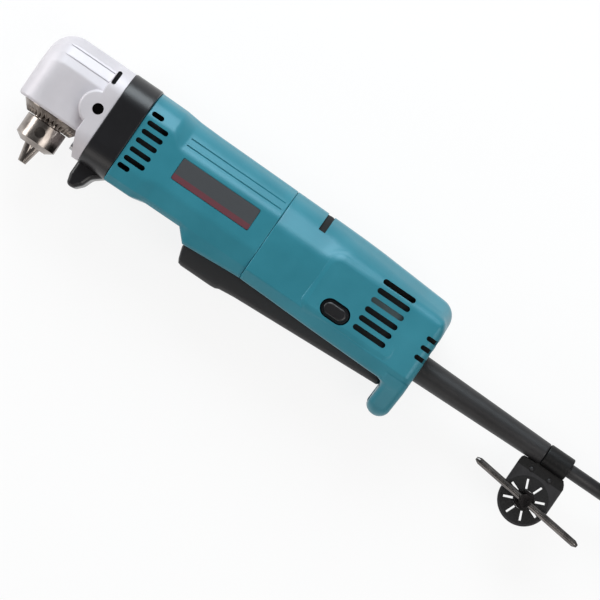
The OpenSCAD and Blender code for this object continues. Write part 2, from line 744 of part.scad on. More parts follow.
module reduction_gear() color("slategray") lay() along_x(reduction_x, gear_y) difference() {
    rotate([0, 0, -90 + 180 / reduction_teeth]) linear_extrude(height = reduction_w)
        spur_2d(reduction_teeth, spur_module);
    translate([0, 0, -over]) cylinder(r = gear_shaft_r, h = reduction_w + 2 * over);
}

module bevel_gear() color("slategray") lay() up_spindle(0) union() {
    rotate_extrude() polygon([
        [gear_seat_r, y_gear_back], [bevel_r, y_gear_back],
        [bevel_r, gear_y - bevel_r * tan(bevel_slope) - root_drop],
        [bevel_inner * cos(bevel_slope), gear_y - bevel_inner * sin(bevel_slope) - root_drop],
        [gear_seat_r, gear_y - bevel_inner * sin(bevel_slope) - root_drop]
    ]);
    for (i = [0:bevel_gear_teeth - 1]) rotate([0, 0, (i + 0.5) * 360 / bevel_gear_teeth])
        translate([0, 0, gear_y]) rotate([0, 90 + bevel_slope, 0]) translate([0, 0, bevel_inner])
            rotate([0, 0, 180]) bevel_tooth();
}
gear_seat_r = spindle_r - over;

// Chuck
groove_h_nut = 5;
y_groove = y_rim + groove_h_nut;
groove_core_r = 8.6;
hub_lip = 0.8;
// Height of the key holes below the rim, as a share of the nose
pilot_share = 0.42;
hub_r = chuck_r + hub_lip;
y_hub = y_recess_top - over;
socket_len = 6;
jaw_gap = 0.3;
bit_hole_r = 5;
nose_chamfer = 3;
sleeve_top_gap = 6;

module spindle() color("gainsboro") lay() {
    up_spindle(y_hub - socket_len) cylinder(r = spindle_r, h = y_gear_back - y_hub + socket_len);
    up_spindle(y_gear_back)
        cylinder(r = gear_seat_r, h = gear_y - bevel_inner * sin(bevel_slope) - root_drop - y_gear_back);
    up_spindle(y_gear_back)
        cylinder(r = upper_shaft_r, h = gear_room_y1 + bush_len - slide_gap - y_gear_back);
}

// Angle of jaw i about the spindle; the key holes stand half way between the jaws
chuck_turn = -30;
function jaw_turn(i) = chuck_turn + i * 120;

// Places a shape drawn along Z on the slanted axis of jaw i, with its start at the jaw's tip
module on_jaw_axis(i) up_spindle(y_tip) rotate([0, 0, jaw_turn(i)])
    translate([-jaw_cross_share * jaw_r, 0, 0]) rotate([0, jaw_slant, 0]) children();

module jaw(i) lay() difference() {
    intersection() {
        on_jaw_axis(i) translate([0, 0, -jaw_r]) cylinder(r = jaw_r, h = jaw_len + jaw_r);
        up_spindle(y_tip) rotate([0, 0, jaw_turn(i)]) translate([jaw_gap / 2 / sin(60), 0, 0])
            linear_extrude(height = jaw_len) polygon([[0, 0], [jaw_len * cos(60), jaw_len * sin(60)],
                [2 * jaw_len, 0], [jaw_len * cos(60), -jaw_len * sin(60)]]);
    }
    up_spindle(y_tip - over) cylinder(r = bit_r, h = jaw_len);
}
module jaw_1() color("dimgray") jaw(0);
module jaw_2() color("dimgray") jaw(1);
module jaw_3() color("dimgray") jaw(2);

module chuck_body() color("gray") lay() difference() {
    union() {
        up_spindle(y_nose) cylinder(r1 = chuck_r - nose_chamfer, r2 = chuck_r, h = nose_chamfer);
        up_spindle(y_nose + nose_chamfer) cylinder(r = chuck_r, h = nose_len - nose_chamfer);
        up_spindle(y_rim - over) cylinder(r = groove_core_r, h = groove_h_nut + 2 * over);
        up_spindle(y_groove) cylinder(r = hub_r, h = y_hub - y_groove);
    }
    for (i = [0:2]) on_jaw_axis(i)
        cylinder(r = jaw_r + run_gap, h = (y_hub - y_tip) / cos(jaw_slant) + 2 * over);
    up_spindle(y_nose - over) cylinder(r = bit_hole_r, h = nose_len + groove_h_nut);
    up_spindle(y_hub - socket_len) cylinder(r = spindle_r, h = socket_len + over);
    for (i = [0:2]) up_spindle(y_rim - nose_len * pilot_share) rotate([0, 0, jaw_turn(i + 0.5)])
        rotate([0, 90, 0]) translate([0, 0, groove_core_r]) cylinder(r = pilot_r, h = chuck_r);
}

// Reach of a jaw from the spindle axis at height y
function jaw_reach(y) = (y - y_tip) * tan(jaw_slant) - jaw_cross_share * jaw_r + jaw_r / cos(jaw_slant);

module chuck_nut() color("dimgray") lay() up_spindle(y_rim + slide_gap)
    ring(hub_r + run_gap, jaw_reach(y_groove) + slide_gap, groove_h_nut - 2 * slide_gap);

module chuck_sleeve() color("gray") lay() difference() {
    union() {
        up_spindle(y_rim + slide_gap)
            cylinder(r1 = hub_r + over, r2 = sleeve_r, h = sleeve_rim_h - slide_gap);
        up_spindle(-head_drop) cylinder(r = sleeve_r, h = recess_h - sleeve_top_gap);
    }
    up_spindle(y_rim - over) cylinder(r = hub_r + run_gap, h = recess_h + sleeve_rim_h);
    for (i = [0:sleeve_teeth - 1]) up_spindle(y_rim) rotate([0, 0, i * 360 / sleeve_teeth])
        translate([sleeve_r + over / 2, 0, over]) rotate([0, -45, 0]) rotate([0, 0, 45])
            cube([over, over, 2 * sleeve_r * tooth_share], center = true);
}

// Motor
fan_x = front_bearing_x + front_bearing_w + over;
fan_len = 10;
fan_disc_t = 2.4;
fan_r = field_r - over;
fan_blades = 14;
blade_t = 1.4;
winding_len = 6.5;
core_slots = 12;
winding_dip = 1.4;
winding_r = armature_r - winding_dip;
commutator_len = 9;
commutator_x = web_x - over - commutator_len;
commutator_r = 10;
commutator_bars = 22;
bar_gap = 0.5;
baffle_t = 2;
baffle_x = fan_x + fan_len + over;
coil_bar_r = 2.6;
coil_bar_share = 0.82;
brush_len = 12;
brush_h = 5;
brush_w = 6;
brush_wall = 1;

pinion_root_r = spur_module * (pinion_teeth / 2 - dedendum_share);
shaft_start_x = reduction_x + reduction_w + over;

module armature_shaft() color("gainsboro") lay() {
    along_x(reduction_x) rotate([0, 0, 90]) linear_extrude(height = reduction_w)
        spur_2d(pinion_teeth, spur_module);
    along_x(reduction_x) cylinder(r = pinion_root_r, h = reduction_w + 2 * over);
    along_x(shaft_start_x) cylinder(r = shaft_r, h = rear_bearing_x + rear_bearing_w - shaft_start_x);
}

module armature_core() color("silver") lay() along_x(core_x) difference() {
    ring(armature_r, shaft_r, core_len);
    for (i = [0:core_slots - 1]) rotate([0, 0, i * 360 / core_slots]) translate([armature_r, 0, -over])
        cylinder(r = blade_t, h = core_len + 2 * over);
}

module armature_windings() color([0.6, 0.33, 0.18]) lay() for (x = [core_x - winding_len,
    core_x + core_len])
    along_x(x) difference() {
        union() {
            translate([0, 0, winding_len / 4]) cylinder(r = winding_r, h = winding_len / 2);
            cylinder(r = winding_r - winding_len / 4, h = winding_len);
        }
        translate([0, 0, -over]) cylinder(r = shaft_r, h = winding_len + 2 * over);
    }

module commutator() color([0.72, 0.45, 0.25]) lay() along_x(commutator_x) difference() {
    ring(commutator_r, shaft_r, commutator_len);
    for (i = [0:commutator_bars - 1]) rotate([0, 0, i * 360 / commutator_bars])
        translate([commutator_r - over, -bar_gap / 2, -over])
            cube([2 * over, bar_gap, commutator_len + 2 * over]);
}

module fan() color([0.9, 0.88, 0.8]) lay() along_x(fan_x) {
    translate([0, 0, fan_len - fan_disc_t]) ring(fan_r, shaft_r, fan_disc_t);
    ring(shaft_r + bush_wall, shaft_r, fan_len);
    for (i = [0:fan_blades - 1]) rotate([0, 0, i * 360 / fan_blades])
        translate([front_bearing_r + boss_wall, -blade_t / 2, 0])
            cube([fan_r - front_bearing_r - boss_wall, blade_t, fan_len - over]);
}

module armature_front_bearing() color("lightgray") lay() along_x(front_bearing_x)
    bearing(front_bearing_r, shaft_r + run_gap, front_bearing_w);

boot_t = 1.2;
module armature_rear_bearing() color("lightgray") lay() along_x(rear_bearing_x)
    bearing(rear_bearing_r - boot_t, shaft_r + run_gap, rear_bearing_w);

module bearing_boot() color([0.12, 0.12, 0.12]) lay() along_x(rear_bearing_x)
    ring(rear_bearing_r, rear_bearing_r - boot_t, rear_bearing_w);

module field_slots(r) for (i = [0:3]) rotate([0, 0, 45 + i * 90])
    translate([coil_bar_share * field_r, 0, -over]) cylinder(r = r, h = field_len + 2 * over);

module field_core() color("silver") lay() along_x(field_x) difference() {
    ring(field_r, armature_r + air_gap, field_len);
    field_slots(coil_bar_r);
}

// Coil ends stand out of the core as far as the baffle leaves room
field_coil_reach = min(winding_len / 2 + over, field_x - baffle_x - baffle_t - slide_gap);
module field_coils() color([0.6, 0.33, 0.18]) lay() along_x(field_x) {
    for (z = [-field_coil_reach, field_len]) translate([0, 0, z])
        ring(coil_bar_share * field_r + coil_bar_r, coil_bar_share * field_r - coil_bar_r, field_coil_reach);
    field_slots(coil_bar_r);
}

module baffle_ring() color([0.15, 0.15, 0.16]) lay() along_x(baffle_x)
    ring(field_r, armature_r + over, baffle_t);

module at_brushes() for (s = [-1, 1]) translate([web_x - brush_w - 2 * brush_wall, 0, 0])
    rotate([s > 0 ? 0 : 180, 0, 0])
    translate([0, 0, commutator_r]) children();

module brush_holders() color("goldenrod") lay() at_brushes()
    translate([0, -brush_h / 2 - brush_wall, over]) difference() {
    cube([brush_w + 2 * brush_wall, brush_h + 2 * brush_wall, brush_len]);
    translate([brush_wall, brush_wall, -over]) cube([brush_w, brush_h, brush_len - brush_wall + over]);
}

module carbon_brushes() color([0.2, 0.2, 0.2]) lay() difference() {
    at_brushes() translate([brush_wall, -brush_h / 2, -over])
        cube([brush_w, brush_h, brush_len / 2 + over]);
    along_x(web_x - 2 * commutator_len) cylinder(r = commutator_r + run_gap, h = 3 * commutator_len);
}

module brush_springs() color("silver") lay() at_brushes()
    translate([brush_wall + brush_w / 2, 0, brush_len / 2])
        ring(brush_h / 2 - slide_gap, brush_h / 2 - over, brush_len / 2 + over - brush_wall);

// Switch, its plunger and return spring
plunger_r = 3;
plunger_len = 9;
plunger_in = 4;
spring_t = 0.8;
module switch_body() color([0.2, 0.2, 0.21]) lay() difference() {
    translate([switch_x, switch_y, -switch_w / 2]) cube([switch_len, switch_h, switch_w]);
    translate([plunger_x, switch_y - over, 0]) rotate([-90, 0, 0])
        cylinder(r = plunger_r + run_gap, h = switch_h / 2 + over);
    translate([lock_x, lock_y, switch_w / 2 - lock_travel - slide_gap])
        cylinder(r = lock_stem_r + slide_gap, h = switch_w);
}

module switch_plunger() color([0.75, 0.72, 0.66]) lay()
    translate([plunger_x, switch_y - plunger_len + plunger_in, 0])
    rotate([-90, 0, 0]) cylinder(r = plunger_r, h = plunger_len);

module plunger_spring() color("silver") lay()
    translate([plunger_x, switch_y - plunger_len + plunger_in + plunger_len, 0])
    rotate([-90, 0, 0]) ring(plunger_r - slide_gap, plunger_r - slide_gap - spring_t,
        switch_h / 2 - plunger_in);

module reverse_switch() color([0.2, 0.2, 0.21]) lay() difference() {
    translate([reverse_x, reverse_y, -reverse_w / 2]) cube([reverse_len, reverse_h, reverse_w]);
    translate([reverse_pivot_x, reverse_y + reverse_h / 2, 0]) rotate([-90, 0, 0])
        cylinder(r = pin_r + run_gap, h = reverse_h);
}

reverse_arm = 16;
reverse_pivot_x = reverse_slot_x + reverse_arm;
reverse_arm_t = 2.2;
reverse_knob_w = 8;
reverse_knob_t = 2.2;
module reverse_lever() color([0.15, 0.15, 0.16]) lay() {
    translate([reverse_pivot_x, reverse_y + reverse_h / 2 + slide_gap, 0]) rotate([-90, 0, 0])
        cylinder(r = pin_r, h = reverse_h / 2 + reverse_arm_t);
    translate([reverse_slot_x - reverse_knob_t / 2, reverse_y + reverse_h + slide_gap, -reverse_knob_w / 4])
        cube([reverse_arm + reverse_knob_t / 2 + pin_r / 2, reverse_arm_t, reverse_knob_w / 2]);
    translate([reverse_slot_x - reverse_knob_t / 2, reverse_y + reverse_h + slide_gap, -reverse_knob_w / 2])
        cube([reverse_knob_t, handle_top - reverse_y - reverse_h - slide_gap, reverse_knob_w]);
}

module capacitor() color([0.8, 0.8, 0.78]) lay()
    translate([capacitor_x, -capacitor_h / 2, capacitor_z]) cube([capacitor_len, capacitor_h, capacitor_w]);

// Lock button with its stem towards the switch
lock_stem_r = 2.6;
lock_proud = 0.4;
module lock_button() color([0.14, 0.14, 0.15]) lay() {
    translate([0, 0, handle_w / 2 - wall - lock_well])
        linear_extrude(height = wall + lock_well + lock_proud)
        translate([lock_x, lock_y]) slot_2d(lock_len, lock_h);
    translate([lock_x, lock_y, switch_w / 2 + slide_gap])
        cylinder(r = lock_stem_r, h = handle_w / 2 - wall - lock_well - switch_w / 2);
}
module lock_spring() color("silver") lay() translate([lock_x, lock_y, switch_w / 2])
    ring(lock_stem_r + over + spring_t, lock_stem_r + over, handle_w / 2 - wall - lock_well - switch_w / 2);

// Switch lever: channel with a cross rib under the plunger, hung on the pin at its rear
lever_pad_w = 8;
lever_heel_r = 2 * pin_r;
lever_rear_x = x_rear - hook_lean - hook_t - slide_gap - over;
// Underside of the lever: shares of its length and of its depth below the lower edge of the handle
lever_under_shares = [[0.03, 1], [0.21, 1], [0.3, 0.8], [0.62, 0.61], [1, 0.42]];
lever_depth = lever_drop - skirt_drop;
lever_len = lever_rear_x - lever_front_x;
lever_top_y = -skirt_drop - over / 2;

module lever_side(inset = 0) offset(delta = -inset) round_out(over) polygon(concat(
    [[lever_rear_x, lever_top_y + lever_depth / 4], [lever_front_x, lever_top_y]],
    [for (u = lever_under_shares) [lever_front_x + u[0] * lever_len, lever_top_y - u[1] * lever_depth]]));

module lever_heel() round_out(over) polygon([
    [lever_rear_x - 2 * lever_heel_r, lever_top_y], [lever_pin_x, lever_pin_y - lever_heel_r],
    [lever_pin_x + lever_heel_r, lever_pin_y], [lever_pin_x, lever_pin_y + lever_heel_r],
    [lever_rear_x - 3 * lever_heel_r, lever_top_y + lever_depth / 4]]);

module switch_lever() color([0.15, 0.15, 0.16]) lay() difference() {
    union() {
        difference() {
            side_prism(lever_w) lever_side();
            side_prism(lever_w - 2 * lever_wall) translate([0, lever_wall]) lever_side(lever_wall / 2);
        }
        side_prism(lever_w - lever_wall) intersection() {
            polygon([[plunger_x - lever_pad_w / 2, plunger_end_y - slide_gap],
                [plunger_x + lever_pad_w / 2, plunger_end_y - slide_gap],
                [plunger_x + lever_pad_w / 2, -lever_drop], [plunger_x - lever_pad_w / 2, -lever_drop]]);
            union() {
                lever_side();
                translate([0, lever_depth / 2]) lever_side();
            }
        }
        side_prism(lever_w) lever_heel();
    }
    translate([lever_pin_x, lever_pin_y, 0]) cylinder(r = pin_r + run_gap, h = handle_w, center = true);
}
plunger_end_y = switch_y - plunger_len + plunger_in;

// The pin ends inside the narrow lower part of the handle
lever_pin_len = handle_section_shares[4][1] * handle_w - 2 * wall;
module lever_pin() color("silver") lay() translate([lever_pin_x, lever_pin_y, 0])
    cylinder(r = pin_r, h = lever_pin_len, center = true);

// Cord: clamp, guard, key holder and key
clamp_screw_r = 1.6;
clamp_h = 4;
clamp_w_share = 2.3;
clamp_w = clamp_w_share * cord_d;
clamp_screw_share = 0.85;
clamp_cap_share = 1.5;
module cord_clamp() color([0.15, 0.15, 0.16]) lay() difference() {
    translate([clamp_x, cord_y - clamp_w / 2, 0]) cube([clamp_len, clamp_w, cord_d / 2 + clamp_h]);
    along_x(clamp_x - over, cord_y) cylinder(r = cord_d / 2 + run_gap, h = clamp_len + 2 * over);
    at_clamp_screws(-over) cylinder(r = clamp_screw_r, h = cord_d + clamp_h);
}
module at_clamp_screws(z) for (s = [-1, 1])
    translate([clamp_x + clamp_len / 2, cord_y + s * clamp_screw_share * cord_d, z]) children();

module cord_clamp_screws() color("silver") lay() at_clamp_screws(0) {
    cylinder(r = clamp_screw_r, h = cord_d / 2 + clamp_h);
    translate([0, 0, cord_d / 2 + clamp_h])
        cylinder(r = clamp_cap_share * clamp_screw_r, h = clamp_screw_r);
}

guard_ribs = 9;
guard_rib_t = 1.2;
guard_rib_d = 0.5;
module cord_guard() color([0.13, 0.13, 0.14]) lay() difference() {
    union() {
        along_x(x_rear - wall - guard_flange_t, cord_y) cylinder(r = guard_flange_r, h = guard_flange_t);
        along_x(x_rear - wall, cord_y) cylinder(r = guard_root_r, h = wall);
        along_x(x_rear, cord_y) cylinder(r1 = guard_root_r, r2 = guard_end_r, h = guard_len);
    }
    along_x(x_rear - 2 * guard_len, cord_y) cylinder(r = cord_d / 2 + run_gap, h = 4 * guard_len);
    for (i = [1:guard_ribs]) along_x(x_rear + i * guard_len / (guard_ribs + 2), cord_y)
        ring(guard_root_r + over,
            guard_end_r - guard_rib_d + (guard_root_r - guard_end_r) * (1 - i / (guard_ribs + 2)),
                guard_rib_t);
}

// Key holder: sleeve on the cord, tongue and slit plate that grips the key
x_holder = x_rear + guard_len;
holder_len = 15.8;
holder_wall = 2.8;
holder_mid = 4.2;
holder_mid_x = x_holder + holder_mid;
holder_drop = 27.4;
holder_y = cord_y - holder_drop;
slits = 8;
slit_w = 1.3;
slit_len = 5.6;
slit_r = 9;
key_hub_r = 5.5;
key_hub_len = 12;
module key_holder() color([0.14, 0.14, 0.15]) lay() difference() {
    union() {
        along_x(x_holder, cord_y) cylinder(r = cord_d / 2 + holder_wall, h = holder_len);
        translate([holder_mid_x, holder_y, -holder_t / 2]) cylinder(r = holder_r, h = holder_t);
        translate([holder_mid_x - holder_r, holder_y, -holder_t / 2])
            cube([2 * holder_r, holder_drop - guard_root_r, holder_t]);
        translate([x_holder, holder_y, -holder_t / 2]) cube([holder_len, holder_drop, holder_t]);
    }
    along_x(x_holder - over, cord_y) cylinder(r = cord_d / 2 + run_gap, h = 2 * holder_len);
    along_x(x_holder - holder_len, cord_y) cylinder(r = guard_root_r, h = holder_len + slide_gap);
    translate([holder_mid_x, holder_y, -holder_t]) cylinder(r = key_hub_r + run_gap, h = 2 * holder_t);
    for (i = [0:slits - 1]) translate([holder_mid_x, holder_y, -holder_t])
        rotate([0, 0, (i + 0.5) * 360 / slits])
        translate([slit_r - slit_len / 2, -slit_w / 2, 0]) cube([slit_len, slit_w, 2 * holder_t]);
}

key_below = 27.6;
key_teeth = 11;
key_head_len = 6;
key_pilot_len = 4.6;
tee_z = 7.4;
tee_tilt = -7.9;
module chuck_key() color("gray") lay() translate([holder_mid_x, holder_y, 0]) difference() {
    union() {
        translate([0, 0, -key_hub_len / 2 - holder_t / 2]) cylinder(r = key_hub_r, h = key_hub_len);
        translate([0, 0, -key_below + key_pilot_len])
            cylinder(r = key_r, h = key_below - key_pilot_len + tee_z);
        translate([0, 0, -key_below + key_pilot_len]) linear_extrude(height = key_head_len)
            spur_2d(key_teeth, 2 * (key_hub_r - over) / key_teeth);
        translate([0, 0, -key_below]) cylinder(r = pilot_r - run_gap, h = key_pilot_len + over);
        translate([0, 0, tee_z - over]) cylinder(r = key_r, h = 2 * tee_r + over);
    }
    translate([0, 0, tee_z]) rotate([0, 90, tee_tilt]) cylinder(r = tee_r, h = tee_len, center = true);
}

module key_tee_bar() color("gray") lay() translate([holder_mid_x, holder_y, tee_z])
    rotate([0, 90, tee_tilt])
    cylinder(r = tee_r, h = tee_len, center = true);

// Lead and put-away coil. Points are in the drill's own axes.
cord_rise = 4.8;
cord_floor_z = cord_rise - rest_z;
// Route of the lead to the coil: distance behind the rear face and height from the motor axis
lead_places = [
    [-16, 0], [0, 0], [22, 0], [44, 0], [66, 0], [84, 0],
    [100, 0], [105, -0.4], [112, -1.9], [118.5, -4.3], [125, -7.9], [132, -13],
    [139, -18], [145.5, -21.8], [152.5, -24.4], [159, -25.8], [166, -26.2]
];
lead_points = [for (p = lead_places) [x_rear + p[0], cord_y, p[1]]];
coil_room = 174;
coil_x = x_rear + coil_room;
layer_step = 8.8;
coil_dip = 1.6;
coil_rings = 24;
coil_sides = 6;
lead_sides = 10;
coil_layers = 4;
coil_in_turns = 2;
coil_outer_r = coil_inner_r + coil_in_turns * coil_step;
coil_y = cord_y + coil_outer_r;

// One layer is coil_in_turns of spiral and half a turn of climb; n counts turns from the start
layer_turns = coil_in_turns + 0.5;
function ease(t) = t * t * (3 - 2 * t);
function coil_layer(n) = floor(n / layer_turns);
function coil_part(n) = n - coil_layer(n) * layer_turns;
function coil_climb(n) = max(0, (coil_part(n) - coil_in_turns) / 0.5);
function coil_radius(n) = let (k = coil_layer(n), t = min(coil_part(n), coil_in_turns) / coil_in_turns,
    c = coil_climb(n))
    k % 2 == 0 ? coil_outer_r - t * coil_in_turns * coil_step - coil_dip * sin(180 * c)
               : coil_inner_r + t * coil_in_turns * coil_step + coil_dip * sin(180 * c);
function coil_point(n) = let (a = 360 * n - 90, r = coil_radius(n))
    [coil_x + r * cos(a), coil_y + r * sin(a),
        cord_floor_z + layer_step * (coil_layer(n) + ease(coil_climb(n)))];
coil_end_turns = 3 * layer_turns + 1;
coil_count = round(coil_end_turns * coil_rings);
coil_last = coil_point(coil_end_turns);
// The lead leaves the coil straight for two diameters before the plug
plug_x = coil_last[0] - 2 * cord_d;
coil_points = concat(
    [[coil_x - cord_d, coil_y - coil_outer_r, cord_floor_z]],
    [for (i = [0:coil_count]) coil_point(i * coil_end_turns / coil_count)],
    [[plug_x, coil_last[1], coil_last[2]]]);

function unit(v) = v / norm(v);
function path_way(p, i) = unit(p[min(i + 1, len(p) - 1)] - p[max(i - 1, 0)]);
function path_ring(p, i, r, sides) = let (w = i == 0 || i == len(p) - 1 ? unit([path_way(p, i)[0], 0,
    0]) : path_way(p, i),
    s = unit(cross([0, 0, 1], w)), u = cross(w, s))
    [for (k = [0:sides - 1]) p[i] + r * cos(360 * (k + 0.5) / sides) * s + r * sin(360 * (k
        + 0.5) / sides) * u];

// Tube swept along the points p
module tube(p, d, sides) {
    n = len(p);
    polyhedron(
        points = [for (i = [0:n - 1]) each path_ring(p, i, d / 2, sides)],
        faces = concat(
            [[for (k = [sides - 1:-1:0]) k]],
            [for (i = [0:n - 2], k = [0:sides - 1]) let (a = i * sides + k, b = i * sides + (k + 1) % sides)
                each [[a, b, b + sides], [a, b + sides, a + sides]]],
            [[for (k = [0:sides - 1]) (n - 1) * sides + k]]));
}

module power_cord() color([0.1, 0.1, 0.1]) lay() tube(lead_points, cord_d, lead_sides);
module cord_coil() color([0.1, 0.1, 0.1]) lay() tube(coil_points, cord_d, coil_sides);

// Least gap between turns, measured on the points more than half a turn apart
coil_gap = min([for (i = [0:len(coil_points) - 1], j = [i + coil_rings / 2:len(coil_points) - 1])
    norm(coil_points[i] - coil_points[j])]) - cord_d;
echo(least_coil_gap = coil_gap);

tie_w = 12;
tie_t = 0.8;
tie_room = 1.2;
module coil_tie() color([0.12, 0.12, 0.12]) lay()
    translate([coil_x + coil_inner_r - cord_d / 2 - coil_dip - tie_room - tie_t, coil_y + tie_w / 2,
        -rest_z]) rotate([90, 0, 0])
        linear_extrude(height = tie_w) difference() {
            square([tie_long, tie_high]);
            translate([tie_t, tie_t]) square([tie_long - 2 * tie_t, tie_high - 2 * tie_t]);
        }
tie_long = coil_outer_r - coil_inner_r + cord_d + 2 * (coil_dip + tie_room + tie_t);
tie_high = (coil_layers - 1) * layer_step + cord_d + 2 * tie_t + tie_room;

plug_len = 38;
plug_w = 34;
plug_t = 13;
plug_neck_len = 14;
plug_neck_r = 6;
plug_pin_r = 2.4;
plug_pin_len = 19;
plug_pin_pitch = 19;
plug_z = coil_last[2] - cord_d / 2 + plug_t / 2 - slide_gap;
module plug_body() color([0.1, 0.1, 0.1]) lay() difference() {
    union() {
        translate([plug_x - plug_neck_len - plug_len, coil_last[1], plug_z]) rotate([90, 0, 90])
            linear_extrude(height = plug_len)
            round_out(plug_t / 3) square([plug_w, plug_t], center = true);
        translate([plug_x - plug_neck_len - over, coil_last[1], plug_z]) rotate([0, 90, 0])
            cylinder(r1 = plug_neck_r, r2 = plug_neck_r - over, h = plug_neck_len + over);
    }
    at_plug_pins(-plug_pin_len / 2) cylinder(r = plug_pin_r, h = plug_pin_len);
}
module at_plug_pins(x) for (s = [-1, 1])
    translate([plug_x - plug_neck_len - plug_len + x, coil_last[1] + s * plug_pin_pitch / 2, plug_z])
        rotate([0, 90, 0]) children();

module plug_pins() color("silver") lay() at_plug_pins(-plug_pin_len) union() {
    translate([0, 0, plug_pin_r]) cylinder(r = plug_pin_r, h = plug_pin_len + plug_pin_len / 2 - plug_pin_r);
    cylinder(r1 = plug_pin_r / 2, r2 = plug_pin_r, h = plug_pin_r);
}

module handle_screws() color("silver") lay() at_handle_screws() {
    cylinder(r = handle_screw_r, h = screw_reach);
    translate([0, 0, -screw_cap_h]) difference() {
        cylinder(r = screw_cap_r - slide_gap, h = screw_cap_h);
        translate([0, 0, -over]) cylinder(r = screw_cap_r / 2, h = screw_cap_h / 2 + over, $fn = 6);
    }
}

gear_head();
spindle_bearing();
spindle_seal();
spindle_bush();
pinion_bearing();
pinion_rear_bush();
gear_plate();
head_screws();
front_collar();
motor_housing();
nameplate();
handle_left();
handle_right();
spindle();
bevel_gear();
chuck_body();
chuck_nut();
chuck_sleeve();
jaw_1();
jaw_2();
jaw_3();
bevel_pinion();
reduction_gear();
armature_shaft();
armature_core();
armature_windings();
commutator();
fan();
armature_front_bearing();
armature_rear_bearing();
bearing_boot();
field_core();
field_coils();
baffle_ring();
brush_holders();
carbon_brushes();
brush_springs();
switch_body();
switch_plunger();
plunger_spring();
reverse_switch();
reverse_lever();
capacitor();
lock_button();
lock_spring();
switch_lever();
lever_pin();
handle_screws();
cord_clamp();
cord_clamp_screws();
cord_guard();
key_holder();
chuck_key();
key_tee_bar();
power_cord();
cord_coil();
coil_tie();
plug_body();
plug_pins();
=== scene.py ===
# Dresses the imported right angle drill: moulded shells, cast head, steel chuck, rubber lead.
# Sizes in the dictionaries are millimetres from the head's front face (x), the motor axis (y, up)
# and the middle (z, left).
import json
import math
import bpy
import numpy as np
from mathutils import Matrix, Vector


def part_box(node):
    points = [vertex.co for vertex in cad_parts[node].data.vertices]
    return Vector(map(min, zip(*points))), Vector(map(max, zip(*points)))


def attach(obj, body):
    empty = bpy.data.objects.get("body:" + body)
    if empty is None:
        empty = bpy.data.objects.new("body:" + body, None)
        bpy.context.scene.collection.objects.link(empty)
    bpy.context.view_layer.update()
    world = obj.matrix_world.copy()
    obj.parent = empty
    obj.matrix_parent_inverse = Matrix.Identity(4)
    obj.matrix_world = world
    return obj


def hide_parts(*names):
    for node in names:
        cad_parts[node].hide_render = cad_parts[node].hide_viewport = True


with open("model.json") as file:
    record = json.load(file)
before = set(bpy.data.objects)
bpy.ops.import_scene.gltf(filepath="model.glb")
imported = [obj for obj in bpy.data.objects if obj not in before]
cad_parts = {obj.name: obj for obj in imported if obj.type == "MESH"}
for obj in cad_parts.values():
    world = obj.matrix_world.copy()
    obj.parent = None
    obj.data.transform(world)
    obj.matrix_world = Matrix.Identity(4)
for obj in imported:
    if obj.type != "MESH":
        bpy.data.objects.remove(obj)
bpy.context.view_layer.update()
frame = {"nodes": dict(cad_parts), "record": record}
nodes = frame["nodes"]
shaftLow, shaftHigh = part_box("armature_shaft")
origin = np.array([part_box("gear_head")[0].x, (shaftLow.y + shaftHigh.y) / 2, (shaftLow.z + shaftHigh.z) / 2])
mm = 0.001
# joint with the motor housing, rear face
seamX, rearX = ((end.x - origin[0]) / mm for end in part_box("handle_left"))
far = 60.0  # cutters reach past the tool
print("frame loaded, tool length", round(rearX, 1), "mm")


def toRow(points):
    # millimetres on the tool to metres in the frame
    return np.asarray(points, float) * mm + origin


def toolBox(node):
    # corners of a solid's box in millimetres on the tool
    return [(np.array(corner) - origin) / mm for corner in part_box(node)]


# Shader sockets with arithmetic
class Wire:
    def __init__(self, tree, socket):
        self.tree, self.socket = tree, socket

    def math(self, operation, other=0.0, flip=False):
        first, second = (other, self) if flip else (self, other)
        return addNode(self.tree, "ShaderNodeMath", {"operation": operation}, {0: first, 1: second})

    def __add__(self, other):
        return self.math("ADD", other)

    def __mul__(self, other):
        return self.math("MULTIPLY", other)

    def __sub__(self, other):
        return self.math("SUBTRACT", other)

    def __rsub__(self, other):
        return self.math("SUBTRACT", other, True)

    def __pow__(self, other):
        return self.math("POWER", other)

    def __gt__(self, other):
        return self.math("GREATER_THAN", other)

    def __lt__(self, other):
        return self.math("LESS_THAN", other)

    __radd__, __rmul__ = __add__, __mul__


def setSocket(tree, socket, value):
    # a link from a wire, or else a plain value
    if isinstance(value, Wire):
        tree.links.new(value.socket, socket)
    else:
        socket.default_value = (*value, 1) if socket.type == "RGBA" else value


def addNode(tree, kind, settings=None, inputs=None, out=0):
    # settings first, then the values or links of the sockets
    node = tree.nodes.new(kind)
    for key, value in (settings or {}).items():
        if key == "stops":
            for element, (place, colour) in zip(node.color_ramp.elements, value):
                element.position, element.color = place, (*colour, 1)
        else:
            setattr(node, key, value)
    for key, value in (inputs or {}).items():
        setSocket(tree, node.inputs[key], value)
    return Wire(tree, node.outputs[out])


def linear(red, green, blue):
    # sRGB bytes to linear light
    c = np.array([red, green, blue]) / 255
    return tuple(float(v) for v in np.where(c <= 0.04045, c / 12.92, ((c + 0.055) / 1.055) ** 2.4))


